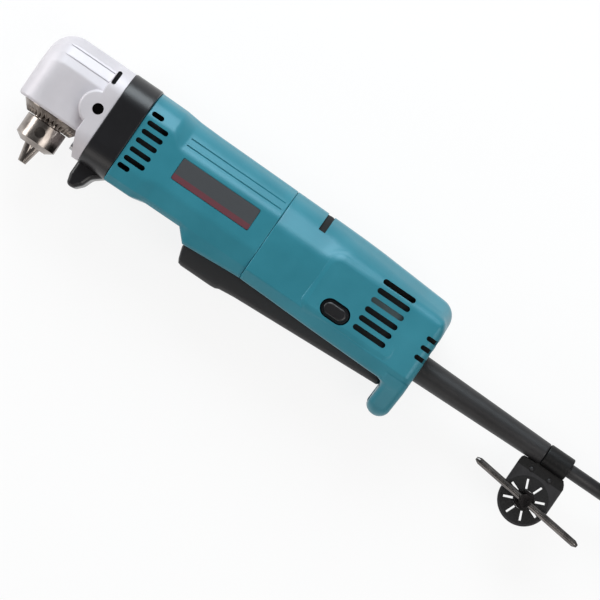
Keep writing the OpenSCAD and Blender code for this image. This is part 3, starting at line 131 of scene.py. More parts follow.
class Finish:
    def __init__(self, name):
        self.material = bpy.data.materials.new(name)
        self.material.use_nodes = True
        self.tree = self.material.node_tree
        self.shader = self.tree.nodes["Principled BSDF"]
        self.place = self.add("ShaderNodeTexCoord", out="Object")

    def add(self, kind, settings=None, inputs=None, out=0):
        return addNode(self.tree, kind, settings, inputs, out)

    def noise(self, scale, detail=4.0, rough=0.55, place=None):
        return self.add("ShaderNodeTexNoise", None,
                        {"Vector": place or self.place, "Scale": scale, "Detail": detail, "Roughness": rough})

    def stretched(self, scale):
        return self.add("ShaderNodeMapping", None, {"Vector": self.place, "Scale": scale})

    def axes(self, *names):
        return [self.add("ShaderNodeSeparateXYZ", None, {0: self.place}, name) for name in names]

    def ramp(self, factor, *stops):
        lights = [(at, linear(*shade)) for at, shade in stops]
        return self.add("ShaderNodeValToRGB", {"stops": lights}, {0: factor})

    def mix(self, factor, first, second):
        return self.add("ShaderNodeMix", {"data_type": "RGBA"}, {0: factor, 6: first, 7: second}, 2)

    def bump(self, height, strength, distance):
        return self.add("ShaderNodeBump", None, {"Height": height, "Strength": strength, "Distance": distance})

    def done(self, **sockets):
        for name, value in sockets.items():
            setSocket(self.tree, self.shader.inputs[name.replace("_", " ")], value)
        return self.material


# Mesh tools
def skin(name, grid, closed=False, sharp=35):
    # a grid of points as a closed skin: quads between neighbouring rows and columns, and unless the rows
    # close on themselves a fan from each end to its middle; all faces turn round when the volume that they
    # enclose is negative
    rows, cols = grid.shape[:2]
    points = grid.reshape(-1, 3)
    a, b = np.meshgrid(np.arange(rows if closed else rows - 1), np.arange(cols), indexing="ij")
    a2, b2 = (a + 1) % rows, (b + 1) % cols
    quads = np.stack([a * cols + b, a * cols + b2, a2 * cols + b2, a2 * cols + b], -1).reshape(-1, 4)
    fans = np.zeros((0, 3), int)
    if not closed:
        ring, hub = np.arange(cols), np.full(cols, len(points))
        after, last = np.roll(ring, -1), (rows - 1) * cols
        points = np.vstack([points, grid[0].mean(0), grid[-1].mean(0)])
        fans = np.vstack([np.stack([after, ring, hub], 1), np.stack([hub + 1, ring + last, after + last], 1)])
    volume = sum((points[f[:, 0]] * np.cross(points[f[:, i]], points[f[:, i + 1]])).sum()
                 for f in (quads, fans) for i in range(1, f.shape[1] - 1))
    turn = -1 if volume < 0 else 1
    mesh = bpy.data.meshes.new(name)
    mesh.from_pydata(toRow(points).tolist(), [], quads[:, ::turn].tolist() + fans[:, ::turn].tolist())
    mesh.update()
    return smooth(addThing(name, mesh), sharp)


def addThing(name, content):
    # an object at the origin, with its place in its mesh
    thing = bpy.data.objects.new(name, content)
    bpy.context.scene.collection.objects.link(thing)
    return thing


def smooth(piece, sharp):
    # smooth shading with edges kept where faces meet at more than the sharp angle
    piece.data.shade_smooth()
    piece.data.set_sharp_from_angle(angle=math.radians(sharp))
    return piece


def bake(piece):
    # the mesh that the modifiers give becomes the piece's own
    bpy.context.view_layer.update()
    done = bpy.data.meshes.new_from_object(piece.evaluated_get(bpy.context.evaluated_depsgraph_get()))
    piece.modifiers.clear()
    old, piece.data = piece.data, done
    bpy.data.meshes.remove(old)
    return piece


def carve(piece, cutters, operation="DIFFERENCE", sharp=35):
    # boolean of closed skins
    for cutter in cutters:
        tool = piece.modifiers.new("carve", "BOOLEAN")
        tool.operation, tool.solver, tool.object = operation, "MANIFOLD", cutter
    bake(piece)
    for cutter in cutters:
        mesh = cutter.data
        bpy.data.objects.remove(cutter)
        bpy.data.meshes.remove(mesh)
    return smooth(piece, sharp)


def dress(piece, material, body, slot, *stands):
    # wide faces lead the normals at their edges, so that flats stay flat to the light
    tool = piece.modifiers.new("even", "WEIGHTED_NORMAL")
    tool.keep_sharp, tool.weight = True, 60
    bake(piece)
    piece.data.materials.clear()
    piece.data.materials.append(material)
    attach(piece, body)
    if stands:
        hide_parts(*stands)
    return piece


def stations(*parts):
    # places along a path in rising order, each one once
    return np.unique(np.round(np.concatenate([np.atleast_1d(part) for part in parts]).astype(float), 4))


def span(side, near, past=far):
    # low and high end of a reach to one side of the middle
    return sorted((side * near, side * past))


def blend(x, start, end):
    # smooth step: 3t² - 2t³ between start and end
    t = np.clip((x - start) / (end - start), 0, 1)
    return t * t * (3 - 2 * t)


def quarterDrop(distance, radius):
    # fall of a round edge at a distance from the end face
    return radius - np.sqrt(np.maximum(radius ** 2 - np.maximum(radius - distance, 0) ** 2, 0))


def quarterSteps(count):
    # shares of a round edge's radius, closer together towards the end face
    return 1 - np.cos(np.linspace(0, math.pi / 2, count))


def roundTurn(count):
    # even angles over one full turn
    return np.linspace(0, 2 * math.pi, count, endpoint=False)


def roundPoly(corners, radii, arcSteps=8, lineSteps=3):
    # closed outline with rounded corners: every corner is a circular arc, written as a rational quadratic
    # curve; corners (stations, k, 2), radii (stations, k); gives (stations, k * (arcSteps + lineSteps), 2)
    p = np.asarray(corners, float)
    before, after = np.roll(p, 1, -2) - p, np.roll(p, -1, -2) - p
    lenB, lenA = (np.linalg.norm(way, axis=-1, keepdims=True) for way in (before, after))
    before, after = before / np.maximum(lenB, 1e-9), after / np.maximum(lenA, 1e-9)
    half = np.arccos(np.clip((before * after).sum(-1, keepdims=True), -1, 1)) / 2
    reach = np.asarray(radii, float)[..., None] / np.maximum(np.tan(half), 1e-6)
    reach = np.minimum(reach, 0.49 * np.minimum(lenA, lenB))
    start, end = p + before * reach, p + after * reach
    t = np.linspace(0, 1, arcSteps)[:, None]
    w = np.sin(half)[..., None, :]
    s, e, m = start[..., None, :], end[..., None, :], p[..., None, :]
    low, mid, high = (1 - t) ** 2, 2 * w * t * (1 - t), t ** 2
    arc = (low * s + mid * m + high * e) / (low + mid + high)
    step = np.linspace(0, 1, lineSteps + 2)[1:-1, None]
    line = e * (1 - step) + np.roll(start, -1, -2)[..., None, :] * step
    loops = np.concatenate([arc, line], -2)
    return loops.reshape(*loops.shape[:-3], -1, 2)


def roundRect(middle, size, radius, arcSteps=5, lineSteps=1):
    # rectangle about its middle; the radius may be given for each corner
    corners = np.array([(-1, -1), (1, -1), (1, 1), (-1, 1)]) * np.array(size) / 2 + middle
    return roundPoly(corners[None], np.full((1, 4), radius, float), arcSteps, lineSteps)[0]


def slotOutline(x, y, length, height, steps=10):
    # stadium: two half circles joined by straight sides
    a = np.linspace(-math.pi / 2, math.pi / 2, steps)
    right = np.stack([np.cos(a), np.sin(a)], 1) * height / 2
    half = (length - height) / 2
    return np.vstack([right + [half, 0], -right - [half, 0]]) + [x, y]


def prism(name, outline, low, high, axis=2):
    # outline (n, 2) drawn in the two other axes, in order, and carried along the given axis
    grid = np.zeros((2, len(outline), 3))
    grid[..., [a for a in range(3) if a != axis]] = outline
    grid[0, :, axis], grid[1, :, axis] = low, high
    return skin(name, grid)


def box(name, low, high):
    # prism between two corners
    (x0, y0, z0), (x1, y1, z1) = low, high
    return prism(name, np.array([(x0, y0), (x1, y0), (x1, y1), (x0, y1)]), z0, z1)


def ventCut(ends, y, height, low=-far, high=far):
    # slot between two ends along x
    return prism("vent", slotOutline(sum(ends) / 2, y, ends[1] - ends[0], height), low, high)


def lathe(name, profile, centre, axis, count=96, closed=False, sharp=30):
    # profile (n, 2) of radius and height turned about an axis; a closed profile makes a ring
    angle = roundTurn(count)
    radius, height = np.asarray(profile, float).T[:, :, None]
    grid = np.zeros((len(radius), count, 3))
    a, b = [(1, 2), (2, 0), (0, 1)][axis]
    grid[..., a], grid[..., b], grid[..., axis] = radius * np.cos(angle), radius * np.sin(angle), height
    return skin(name, grid + np.asarray(centre, float), closed, sharp)


def rod(name, centre, axis, radius, low, high, count=64):
    # cylinder along an axis
    return lathe(name, [(radius, low), (radius, high)], centre, axis, count)


def tube(name, path, radius, sides, up=(0, 0, 1)):
    # round tube along a path that never runs along the up direction; radius may change along it
    way = np.gradient(path, axis=0)
    way /= np.linalg.norm(way, axis=1, keepdims=True)
    side = np.cross(up, way)
    side /= np.linalg.norm(side, axis=1, keepdims=True)
    over = np.cross(way, side)
    angle = roundTurn(sides)[None, :, None]
    radius = np.broadcast_to(np.asarray(radius, float).reshape(-1, 1, 1), (len(path), 1, 1))
    return skin(name, path[:, None] + radius * (np.cos(angle) * side[:, None] + np.sin(angle) * over[:, None]))


def sections(*corners):
    # corners of two values each, given along the stations, as one array (stations, k, 2)
    return np.stack([np.stack(np.broadcast_arrays(*corner), 1) for corner in corners], 1)


def ringSection(halfH, halfW, inset):
    # right half of a rectangle about the motor axis, drawn in by the inset at each station
    return sections(*((s * (halfH - inset), halfW - inset) for s in (1, -1)))


def carry(name, x, loops, sharp=35):
    # loops (stations, n, 2) of height and side, set at their places along x
    along = np.broadcast_to(np.asarray(x, float)[:, None, None], (*loops.shape[:2], 1))
    return skin(name, np.concatenate([along, loops], 2), sharp=sharp)


def loft(name, x, half, radii, arcSteps=8, lineSteps=3):
    # rounded sections at the stations x; half (stations, k, 2) is closed by its own mirror image
    radii = np.broadcast_to(np.asarray(radii, float), half.shape[:2])
    corners = np.concatenate([half, half[:, ::-1] * [1, -1]], 1)
    return carry(name, x, roundPoly(corners, np.concatenate([radii, radii[:, ::-1]], 1), arcSteps, lineSteps))


def pillow(name, outline, low, high, edge, steps=5, rimFlat=0.15):
    # outline (n, 2) in x and y carried from low to high, with both rims rounded by the edge radius
    after = np.roll(outline, -1, 0)
    along = after - np.roll(outline, 1, 0)
    length = np.maximum(np.linalg.norm(along, axis=1, keepdims=True), 1e-9)
    out = np.stack([along[:, 1], -along[:, 0]], 1) / length
    area = (outline[:, 0] * after[:, 1] - outline[:, 1] * after[:, 0]).sum()
    turn = np.linspace(0, math.pi / 2, steps)
    # the last ring lies in the end face, so that the face stays flat to the light
    inset = np.append(edge + rimFlat, edge * (1 - np.sin(turn)))
    rise = np.append(0, edge * (1 - np.cos(turn)))
    level = np.concatenate([low + rise, high - rise[::-1]])[:, None, None]
    shrink = np.concatenate([inset, inset[::-1]])[:, None, None]
    flat = outline - (out if area > 0 else -out) * shrink
    return skin(name, np.concatenate([flat, np.broadcast_to(level, (*flat.shape[:2], 1))], 2))


# Finishes
def tealShellFinish():
    # satin moulded plastic: fine spark texture, faint mottling and handling marks
    f = Finish("tealShell")
    mottle, grain = f.noise(28, 3), f.noise(2600, 2, 0.7)
    scuff = f.noise(1, 6, 0.75, f.stretched((60, 420, 300)))
    tone = f.ramp(mottle, (0.3, (40, 116, 131)), (0.7, (50, 129, 145)))
    marks = f.ramp(scuff, (0.66, (0, 0, 0)), (0.78, (255, 255, 255))) * 0.16
    return f.done(Base_Color=f.mix(marks, tone, linear(112, 165, 178)), Specular_IOR_Level=0.65,
                  Specular_Tint=(0.6, 0.84, 1.0), Roughness=0.26 + grain * 0.12 + mottle * 0.08,
                  Normal=f.bump(grain, 0.12, 0.0002))


def mouldedFinish(name, cloud, grain, tones, rough, bump, **rest):
    # two tones in clouds under a fine grain; rough is a level and the shares of grain and cloud
    f = Finish(name)
    clouds, grains = f.noise(*cloud), f.noise(*grain)
    return f.done(Base_Color=f.ramp(clouds, *tones), Normal=f.bump(grains, *bump),
                  Roughness=rough[0] + grains * rough[1] + clouds * rough[2], **rest)


def chuckSteelFinish(name, dark, light):
    # ground steel with oil stains and fine turning lines
    f = Finish(name)
    stain = f.noise(90, 5, 0.6)
    lines = f.noise(1, 2, 0.5, f.stretched((40, 3200, 40)))
    return f.done(Base_Color=f.ramp(stain, (0.32, dark), (0.66, light)), Metallic=1.0,
                  Roughness=0.14 + stain * 0.2, Normal=f.bump(lines, 0.12, 0.0001))


# scale and detail of the clouds, their share, how dark they go, what they add to the roughness
plainClouds = {"metal": (160, 4, 0.4, 0.7, 0.15), "plastic": (120, 3, 0.3, 0.8, 0.1)}


def plainFinish(name, kind, colour, rough):
    # one colour with faint darker clouds
    scale, detail, share, dark, matt = plainClouds[kind]
    f = Finish(name)
    cloud = f.noise(scale, detail)
    tone = f.mix(cloud * share, linear(*colour), linear(*(c * dark for c in colour)))
    return f.done(Base_Color=tone, Metallic=float(kind == "metal"), Roughness=rough + cloud * matt)


def linedFinish(name, stretch, fuzz, dark, light, metallic, rough, bump):
    # close lines along one way: sheets of iron or strands of wire
    f = Finish(name)
    lines = f.noise(1, 1, fuzz, f.stretched(stretch))
    return f.done(Base_Color=f.mix(lines, linear(*dark), linear(*light)), Metallic=metallic,
                  Roughness=rough[0] + lines * rough[1], Normal=f.bump(lines, *bump))


def webbingFinish():
    # woven strap: crossing threads as two sets of bands
    f = Finish("webbing")
    x, y, z = f.axes("X", "Y", "Z")
    weave = ((x + z) * 5200).math("SINE") * (y * 5200).math("SINE")
    tone = f.mix(weave * 0.5 + 0.5, linear(22, 22, 24), linear(48, 48, 51))
    return f.done(Base_Color=tone, Roughness=0.75 + weave * 0.05, Normal=f.bump(weave, 0.4, 0.0003))


teal = tealShellFinish()
black = mouldedFinish("blackShell", (40, 4), (2200, 2, 0.7), ((0.3, (17, 17, 19)), (0.72, (27, 26, 29))),
                      (0.24, 0.14, 0), (0.2, 0.0002))
cast = mouldedFinish("castMetal", (35, 4), (1500, 3, 0.65), ((0.3, (197, 192, 196)), (0.7, (210, 205, 209))),
                     (0.4, 0.14, 0.06), (0.1, 0.0002), Metallic=0.22)
rubber = mouldedFinish("rubberBlack", (60, 5, 0.6), (1800, 3, 0.7),
                       ((0.35, (24, 23, 25)), (0.75, (38, 37, 39))), (0.36, 0.18, 0), (0.25, 0.0003))
steel = chuckSteelFinish("chuckSteel", (112, 105, 100), (176, 168, 162))
sleeveSteel = chuckSteelFinish("sleeveSteel", (84, 76, 71), (146, 136, 128))
keySteel = chuckSteelFinish("keySteel", (84, 82, 82), (132, 128, 126))
# dark steel of the key, also used for the dark cups in the bores that paint their shade
blackSteelAndBoreShade = chuckSteelFinish("blackSteelAndBoreShade", (34, 33, 34), (58, 56, 56))
leverBlack = plainFinish("leverBlack", "plastic", (46, 46, 48), 0.42)
ventGrey = plainFinish("ventGrey", "plastic", (92, 108, 110), 0.6)
# dark finish of the pieces that paint the shade inside vents, slots and bores
paintedShadeDark = plainFinish("paintedShadeDark", "plastic", (19, 20, 21), 0.75)
print("finishes made")

# Camera straight above the tool's left side, turned so that the tool runs down to the right
photo = {"centre": (192.3, -22.7, 0), "span": 331.5, "tilt": 34.4, "height": 2.4}
camera = addThing("camera", bpy.data.cameras.new("camera"))
camera.location = toRow(photo["centre"]) + [0, 0, photo["height"]]
camera.rotation_euler = (0, 0, math.radians(photo["tilt"]))
camera.data.sensor_fit = "HORIZONTAL"
camera.data.lens_unit = "FOV"
camera.data.angle = 2 * math.atan(photo["span"] * mm / 2 / photo["height"])
bpy.context.scene.camera = camera

# Pale floor, soft lamps and a white surround; the floor shows white to the camera and to mirrors,
# under a soft shadow
studio = {
    "floorSize": 6.0, "floorWhite": 0.86, "horizon": 0.5, "zenith": 0.1, "aim": (0.06, 0, 0.03),
    # place, size, power and colour
    "lamps": {
        "keyLamp": ((-0.33, 0.98, 0.8), (0.9, 0.8), 14.8, (0.86, 0.95, 1.0)),
        "noseLamp": ((-1.15, 0.1, 0.4), (0.7, 0.5), 5.8, (1, 1, 1)),
        "sideLamp": ((0.75, -0.15, 1.05), (0.6, 0.8), 4.4, (1.0, 0.97, 0.93)),
        "fillLamp": ((0.1, -1.1, 0.6), (1.0, 0.5), 1.9, (1.0, 0.95, 0.9)),
    },
}
floor = addThing("floor", bpy.data.meshes.new("floor"))
square = np.array([(-1, -1, 0), (1, -1, 0), (1, 1, 0), (-1, 1, 0)]) * studio["floorSize"] / 2
floor.data.from_pydata(square.tolist(), [], [(0, 1, 2, 3)])
paper = Finish("paper")
paper.done(Base_Color=(0.93, 0.93, 0.93), Roughness=0.9)
camRay, glossRay, clearRay = (paper.add("ShaderNodeLightPath", out="Is %s Ray" % name)
                              for name in ("Camera", "Glossy", "Transmission"))
glow = paper.add("ShaderNodeEmission", None, {"Color": (1, 1, 1), "Strength": 1.0})
shown = paper.add("ShaderNodeMixShader", None, {0: (camRay + glossRay + clearRay) * studio["floorWhite"],
                                               1: Wire(paper.tree, paper.shader.outputs[0]), 2: glow})
setSocket(paper.tree, paper.tree.nodes["Material Output"].inputs["Surface"], shown)
floor.data.materials.append(paper.material)

for name, (spot, size, power, colour) in studio["lamps"].items():
    light = bpy.data.lights.new(name, "AREA")
    light.shape, (light.size, light.size_y) = "RECTANGLE", size
    light.energy, light.color = power, colour
    aim = np.array(studio["aim"]) - spot
    lamp = addThing(name, light)
    lamp.location = spot
    flat = math.hypot(aim[0], aim[1])
    lamp.rotation_euler = (math.atan2(flat, -aim[2]), 0, math.atan2(aim[1], aim[0]) - math.pi / 2)
world = bpy.data.worlds.new("surround")
bpy.context.scene.world = world
world.use_nodes = True
# a white surround that darkens towards the ceiling
sky, surround = world.node_tree, world.node_tree.nodes["Background"].inputs
height = addNode(sky, "ShaderNodeSeparateXYZ", None, {0: addNode(sky, "ShaderNodeTexCoord")}, "Z")
lift = addNode(sky, "ShaderNodeClamp", None, {"Value": height})
setSocket(sky, surround["Strength"], studio["horizon"] + lift * (studio["zenith"] - studio["horizon"]))
setSocket(sky, surround["Color"], (1, 1, 1))
bpy.context.scene.view_settings.view_transform = "Standard"
print("camera, lamps and floor set")

# Lead: straight through the guard, down to the floor, then a flat coil of layers that wind in and out by turns
cordSizes = {
    "diameter": 8.0, "axis": -16.5, "sides": 16, "smooth": 8, "rings": 56, "tail": 16.0,
    "coilX": rearX + 174, "inner": 32.0, "step": 8.7, "inTurns": 2, "climb": 0.5, "layers": 3,
    "lastTurns": 1.0, "layerStep": 8.8, "dip": 1.6, "rise": 4.8,
    # distance behind the rear face, height from the middle
    "lead": [(-16, 0), (0, 0), (22, 0), (44, 0), (66, 0), (84, 0), (100, 0), (105, -0.4), (112, -1.9),
             (118.5, -4.3), (125, -7.9), (132, -13), (139, -18), (145.5, -21.8), (152.5, -24.4),
             (159, -25.8), (166, -26.2)],
}


def smoothCurve(points, count):
    # Catmull-Rom curve through the points
    p = np.asarray(points, float)
    q = np.vstack([2 * p[0] - p[1], p, 2 * p[-1] - p[-2]])
    t = np.linspace(0, 1, count, endpoint=False)[None, :, None]
    a, b, c, d = (q[i:len(q) - 3 + i, None, :] for i in range(4))
    curve = 0.5 * (2 * b + (c - a) * t + (2 * a - 5 * b + 4 * c - d) * t ** 2
                   + (3 * b - a - 3 * c + d) * t ** 3)
    return np.vstack([curve.reshape(-1, p.shape[1]), p[-1:]])


def coilCurve(s):
    # a layer is inTurns of spiral and a part turn of climb; even layers wind in and odd layers wind out
    outer = s["inner"] + s["inTurns"] * s["step"]
    layerTurns = s["inTurns"] + s["climb"]
    last = s["layers"] * layerTurns + s["lastTurns"]
    n = np.linspace(0, last, round(last * s["rings"]) + 1)
    layer = np.floor(n / layerTurns + 1e-9)
    part = n - layer * layerTurns
    climb = np.clip((part - s["inTurns"]) / s["climb"], 0, 1)
    wound = np.minimum(part, s["inTurns"]) * s["step"] + s["dip"] * np.sin(math.pi * climb)
    radius = np.where(layer % 2 == 0, outer - wound, s["inner"] + wound)
    angle = 2 * math.pi * n - math.pi / 2
    height = s["rise"] - origin[2] / mm + s["layerStep"] * (layer + blend(climb, 0, 1))
    return np.stack([s["coilX"] + radius * np.cos(angle),
                     s["axis"] + outer + radius * np.sin(angle), height], 1)


def buildCord():
    # a round tube along the lead, the coil and a short straight tail into the plug
    s = cordSizes
    lead = smoothCurve([(rearX + x, s["axis"], z) for x, z in s["lead"]], s["smooth"])
    coil = coilCurve(s)
    tail = smoothCurve([coil[-1], coil[-1] - [s["tail"], 0, 0]], 6)
    path = np.vstack([lead, coil, tail[1:]])
    cord = tube("leadCord", path, s["diameter"] / 2, s["sides"])
    return dress(cord, rubber, "housing", "rubber", "power_cord", "cord_coil"), path


cord, cordPath = buildCord()

# Gear head: cast box with a round nose, stepped shoulders, flange, side bosses and the chuck's recess
headSizes = {
    "length": 39.2, "top": 28.9, "drop": 15.6, "half": 23.0, "noseR": 15.0, "planR": 13.0, "footR": 2.4,
    # shoulder corners: shares of the section's height below its top and of its half width, then the radius
    "shoulder": ((0, 0.44, 6), (0.118, 0.79, 2), (0.15, 0.81, 0.9), (0.262, 0.925, 1.8), (0.292, 0.94, 0.9),
                 (0.4, 1.0, 7), (1.0, 1.0, 1.6)),
    "flangeEnd": 48.5, "flangeHalfH": 28.7, "flangeHalfW": 30.0, "flangeR": 16.0, "flangeLip": 0.8,
    "webEnd": 44.7,
    "spindleX": 22.3, "recessR": 19.0, "recessTop": -1.6, "bearingR": 14.0, "gearR": 17.1, "gearLow": 5.6,
    "gearHigh": 20.1, "bushR": 6.0, "bushTop": 26.2, "gearY": 14.0, "pinionR": 10.0,
    "boss": (41.6, 1.1), "bossR": 10.2, "bossRoot": 12.0, "bossTop": 30.0, "bossEdge": 1.6,
    "bore": (42.4, 1.1), "boreR": 3.2, "boreDeep": 9.0,
    "slot": (41.2, 20.95), "slotSize": (2.6, 8.5), "slotR": 1.2, "slotFloor": 19.0,
    "grooves": ((22.3, 18.5), (16.4, 21.5)), "grooveHalf": (0.75, 0.1), "grooveDeep": 0.55,
}


def buildHead():
    # rounded sections that shrink towards the nose by quarter circles, joined with flange and bosses,
    # then bored
    h = headSizes
    x = stations(h["noseR"] * quarterSteps(16), np.linspace(h["noseR"], h["length"] + 1, 10))
    top = h["top"] - quarterDrop(x, h["noseR"])
    tall = top + h["drop"] - quarterDrop(x, h["footR"])
    wide = h["half"] - quarterDrop(x, h["planR"])
    half = sections(*((top - u * tall, v * wide) for u, v, _ in h["shoulder"]))
    head = loft("gearHead", x, half, [r for *_, r in h["shoulder"]], arcSteps=7)

    x = stations(h["length"], h["length"] + h["flangeLip"] * np.array([0.1, 0.4, 1.0]), h["flangeEnd"])
    rect = ringSection(h["flangeHalfH"], h["flangeHalfW"], quarterDrop(x - h["length"], h["flangeLip"]))
    flange = loft("flange", x, rect, h["flangeR"], arcSteps=14)
    root, low = h["length"] - 3, -h["flangeHalfH"] - 1
    web = np.array([(root, -h["drop"]), (h["length"], -h["drop"]), (h["webEnd"], low), (root, low)])
    carve(flange, [prism("webCut", web, -far, far)])
    turn, r, edge = np.linspace(0, math.pi / 2, 5), h["bossR"], h["bossEdge"]
    rim = np.stack([r - edge * (1 - np.cos(turn)), h["bossTop"] - edge * (1 - np.sin(turn))], 1)
    rim = np.vstack([(r, h["bossRoot"]), rim])
    bosses = [lathe("boss", rim * [1, side], (*h["boss"], 0), 2, 72) for side in (1, -1)]
    carve(head, [flange] + bosses, "UNION")
    # boss metal stops at the flange's rear face
    spindle, rear = (h["spindleX"], 0, 0), h["flangeEnd"]
    cuts = [box("rearCut", (rear, -far, -far), (rear + 30, far, far)),
            rod("recess", spindle, 1, h["recessR"], -far, h["recessTop"]),
            rod("bearing", spindle, 1, h["bearingR"], h["recessTop"] - 1, h["gearLow"] + 1),
            rod("gearRoom", spindle, 1, h["gearR"], h["gearLow"], h["gearHigh"]),
            rod("bush", spindle, 1, h["bushR"], h["gearHigh"] - 1, h["bushTop"]),
            rod("pinionBore", (0, h["gearY"], 0), 0, h["pinionR"], h["spindleX"], far)]
    slot, bottom = roundRect(h["slot"], h["slotSize"], h["slotR"]), h["bossTop"] - h["boreDeep"]
    for side in (1, -1):
        cuts.append(rod("handleBore", (*h["bore"], 0), 2, h["boreR"], *span(side, bottom), 40))
        cuts.append(prism("screwSlot", slot, *span(side, h["slotFloor"])))
        for y, z in h["grooves"]:
            (wide, thin), deep = h["grooveHalf"], z - h["grooveDeep"]
            line = np.array([(y - wide, z + 3), (y + wide, z + 3), (y + thin, deep), (y - thin, deep)])
            cuts.append(prism("groove", line * [1, side], 10, h["length"] - 0.3, 0))
    carve(head, cuts, sharp=28)
    return dress(head, cast, "housing", "cast_aluminium", "gear_head")


buildHead()

# Chuck: coned sleeve with key teeth, plain nose with key holes; the jaws keep their own solids
chuckSizes = {
    "x": headSizes["spindleX"], "sleeveR": 18.3, "sleeveTop": -7.6, "coneTop": -16.0, "coneLowR": 14.0,
    "coneLow": -21.1, "bore": 13.3, "lipBore": 12.7, "lipTop": -16.8, "edge": 0.4,
    "teeth": 34, "perTooth": 12, "toothDeep": 1.7, "toothFrom": 0.22, "toothSlant": 0.7, "valley": 0.68,
    "noseR": 12.4, "noseTop": -21.4, "noseLow": -36.2, "chamfer": (4.4, 2.8), "bitR": 5.0, "bitTop": -17.4,
    "coreR": 8.6, "hubR": 13.2, "hubLow": -16.4, "hubTop": -2.6, "socketR": 6.0, "socketLow": -8.6,
    "turn": -30.0, "jawR": 2.9, "jawTip": -46.7, "jawSlant": 14.0, "jawCross": 0.42, "jawReach": (-2.0, 46.0),
    "keyHoleR": 3.0, "keyHoleY": -27.6,
}


def buildSleeve():
    # rings of radius and height turned about the spindle; the cone's rings sink into a V notch between teeth
    c = chuckSizes
    angle = roundTurn(c["teeth"] * c["perTooth"])
    phase = np.arange(len(angle)) % c["perTooth"] / c["perTooth"]
    notch = c["toothSlant"] * np.clip(1 - np.abs(phase - 0.5) * 2 / c["valley"], 0, 1)
    t = np.linspace(0, 1, 9)
    cone = np.stack([c["sleeveR"] + (c["coneLowR"] - c["sleeveR"]) * t,
                     c["coneTop"] + (c["coneLow"] - c["coneTop"]) * t,
                     c["toothDeep"] * blend(t, c["toothFrom"], 1)], 1)
    above = [(c["bore"], c["sleeveTop"], 0), (c["sleeveR"] - c["edge"], c["sleeveTop"], 0),
             (c["sleeveR"], c["sleeveTop"] - c["edge"], 0), (c["sleeveR"], c["coneTop"] + 0.5, 0)]
    below = [(c["lipBore"], c["coneLow"] + 0.9, 0), (c["lipBore"], c["lipTop"], 0),
             (c["bore"], c["lipTop"], 0)]
    radius, height, sink = np.vstack([above, cone, below]).T[:, :, None]
    radius, height = radius - sink * notch, height + sink * notch
    grid = np.stack([c["x"] + radius * np.cos(angle), height, radius * np.sin(angle)], -1)
    return dress(skin("chuckSleeve", grid, True, 24), sleeveSteel, "sleeve_set", "chuck_steel", "chuck_sleeve")


def buildNose():
    # stepped profile turned about the spindle, with slanted bores for the jaws and holes for the key
    # between them
    c = chuckSizes
    wide, low, (inward, up) = c["noseR"], c["noseLow"], c["chamfer"]
    profile = [(c["bitR"], c["bitTop"]), (c["bitR"], low), (wide - inward, low), (wide, low + up),
               (wide, c["noseTop"] - c["edge"]), (wide - c["edge"], c["noseTop"]), (c["coreR"], c["noseTop"]),
               (c["coreR"], c["hubLow"]), (c["hubR"], c["hubLow"]), (c["hubR"], c["hubTop"]),
               (c["socketR"], c["hubTop"]), (c["socketR"], c["socketLow"])]
    nose = lathe("chuckNose", profile, (c["x"], 0, 0), 1, 128)
    cuts, slant = [], math.radians(c["jawSlant"])
    for i in range(3):
        jaw, hole = (np.array([math.cos(a), 0, -math.sin(a)])
                     for a in (math.radians(c["turn"] + 120 * (i + share)) for share in (0, 0.5)))
        way = math.sin(slant) * jaw + [0, math.cos(slant), 0]
        start = np.array([c["x"], c["jawTip"], 0]) - c["jawCross"] * jaw
        cuts.append(tube("jawBore", start + way * np.array(c["jawReach"])[:, None], c["jawR"], 32))
        path = np.array([c["x"], c["keyHoleY"], 0]) + hole * np.array([[c["coreR"]], [wide + 3]])
        cuts.append(tube("keyHole", path, c["keyHoleR"], 32, (0, 1, 0)))
    carve(nose, cuts, sharp=30)
    return dress(nose, steel, "spindle_set", "chuck_steel", "chuck_body")


buildSleeve()
buildNose()

# Collar: black ring with soft edges and the chin that keeps the hand off the chuck
collarSizes = {
    "x": (headSizes["flangeEnd"], 66.2), "halfH": 29.1, "halfW": 31.0, "cornerR": 17.0, "edge": 0.9,
    "wall": 2.6, "chinHalf": 16.0, "chinEdge": 2.4,
    # corners of the chin, with their radius
    "chin": ((48.5, -20, 0.5), (48.5, -36.5, 4), (50.2, -42.6, 3.2), (54.6, -42.6, 3.4), (58.4, -38.5, 4),
             (60.5, -33.0, 5), (66.0, -28.6, 0.5), (66.0, -20, 0.5)),
}


def buildCollar():
    # rounded rectangle carried along x with quarter-round rims, joined with the chin and hollowed
    c = collarSizes
    (x0, x1), wall = c["x"], c["wall"]
    rim = c["edge"] * np.array([0, 0.12, 0.5, 1])
    x = stations(x0 + rim, x1 - rim)
    fall = quarterDrop(np.minimum(x - x0, x1 - x), c["edge"])
    collar = loft("frontCollar", x, ringSection(c["halfH"], c["halfW"], fall), c["cornerR"], arcSteps=16)
    chin = np.array(c["chin"])
    outline = roundPoly(chin[None, :, :2], chin[None, :, 2], 7, 2)[0]
    carve(collar, [pillow("chin", outline, -c["chinHalf"], c["chinHalf"], c["chinEdge"])], "UNION")
    hollow = ringSection(c["halfH"], c["halfW"], np.full(2, wall))
    carve(collar, [loft("collarHollow", [x0 - 1, x1 + 1], hollow, c["cornerR"] - wall, arcSteps=12)], sharp=30)
    return dress(collar, black, "housing", "black_plastic", "front_collar")


buildCollar()
print("head and collar built")

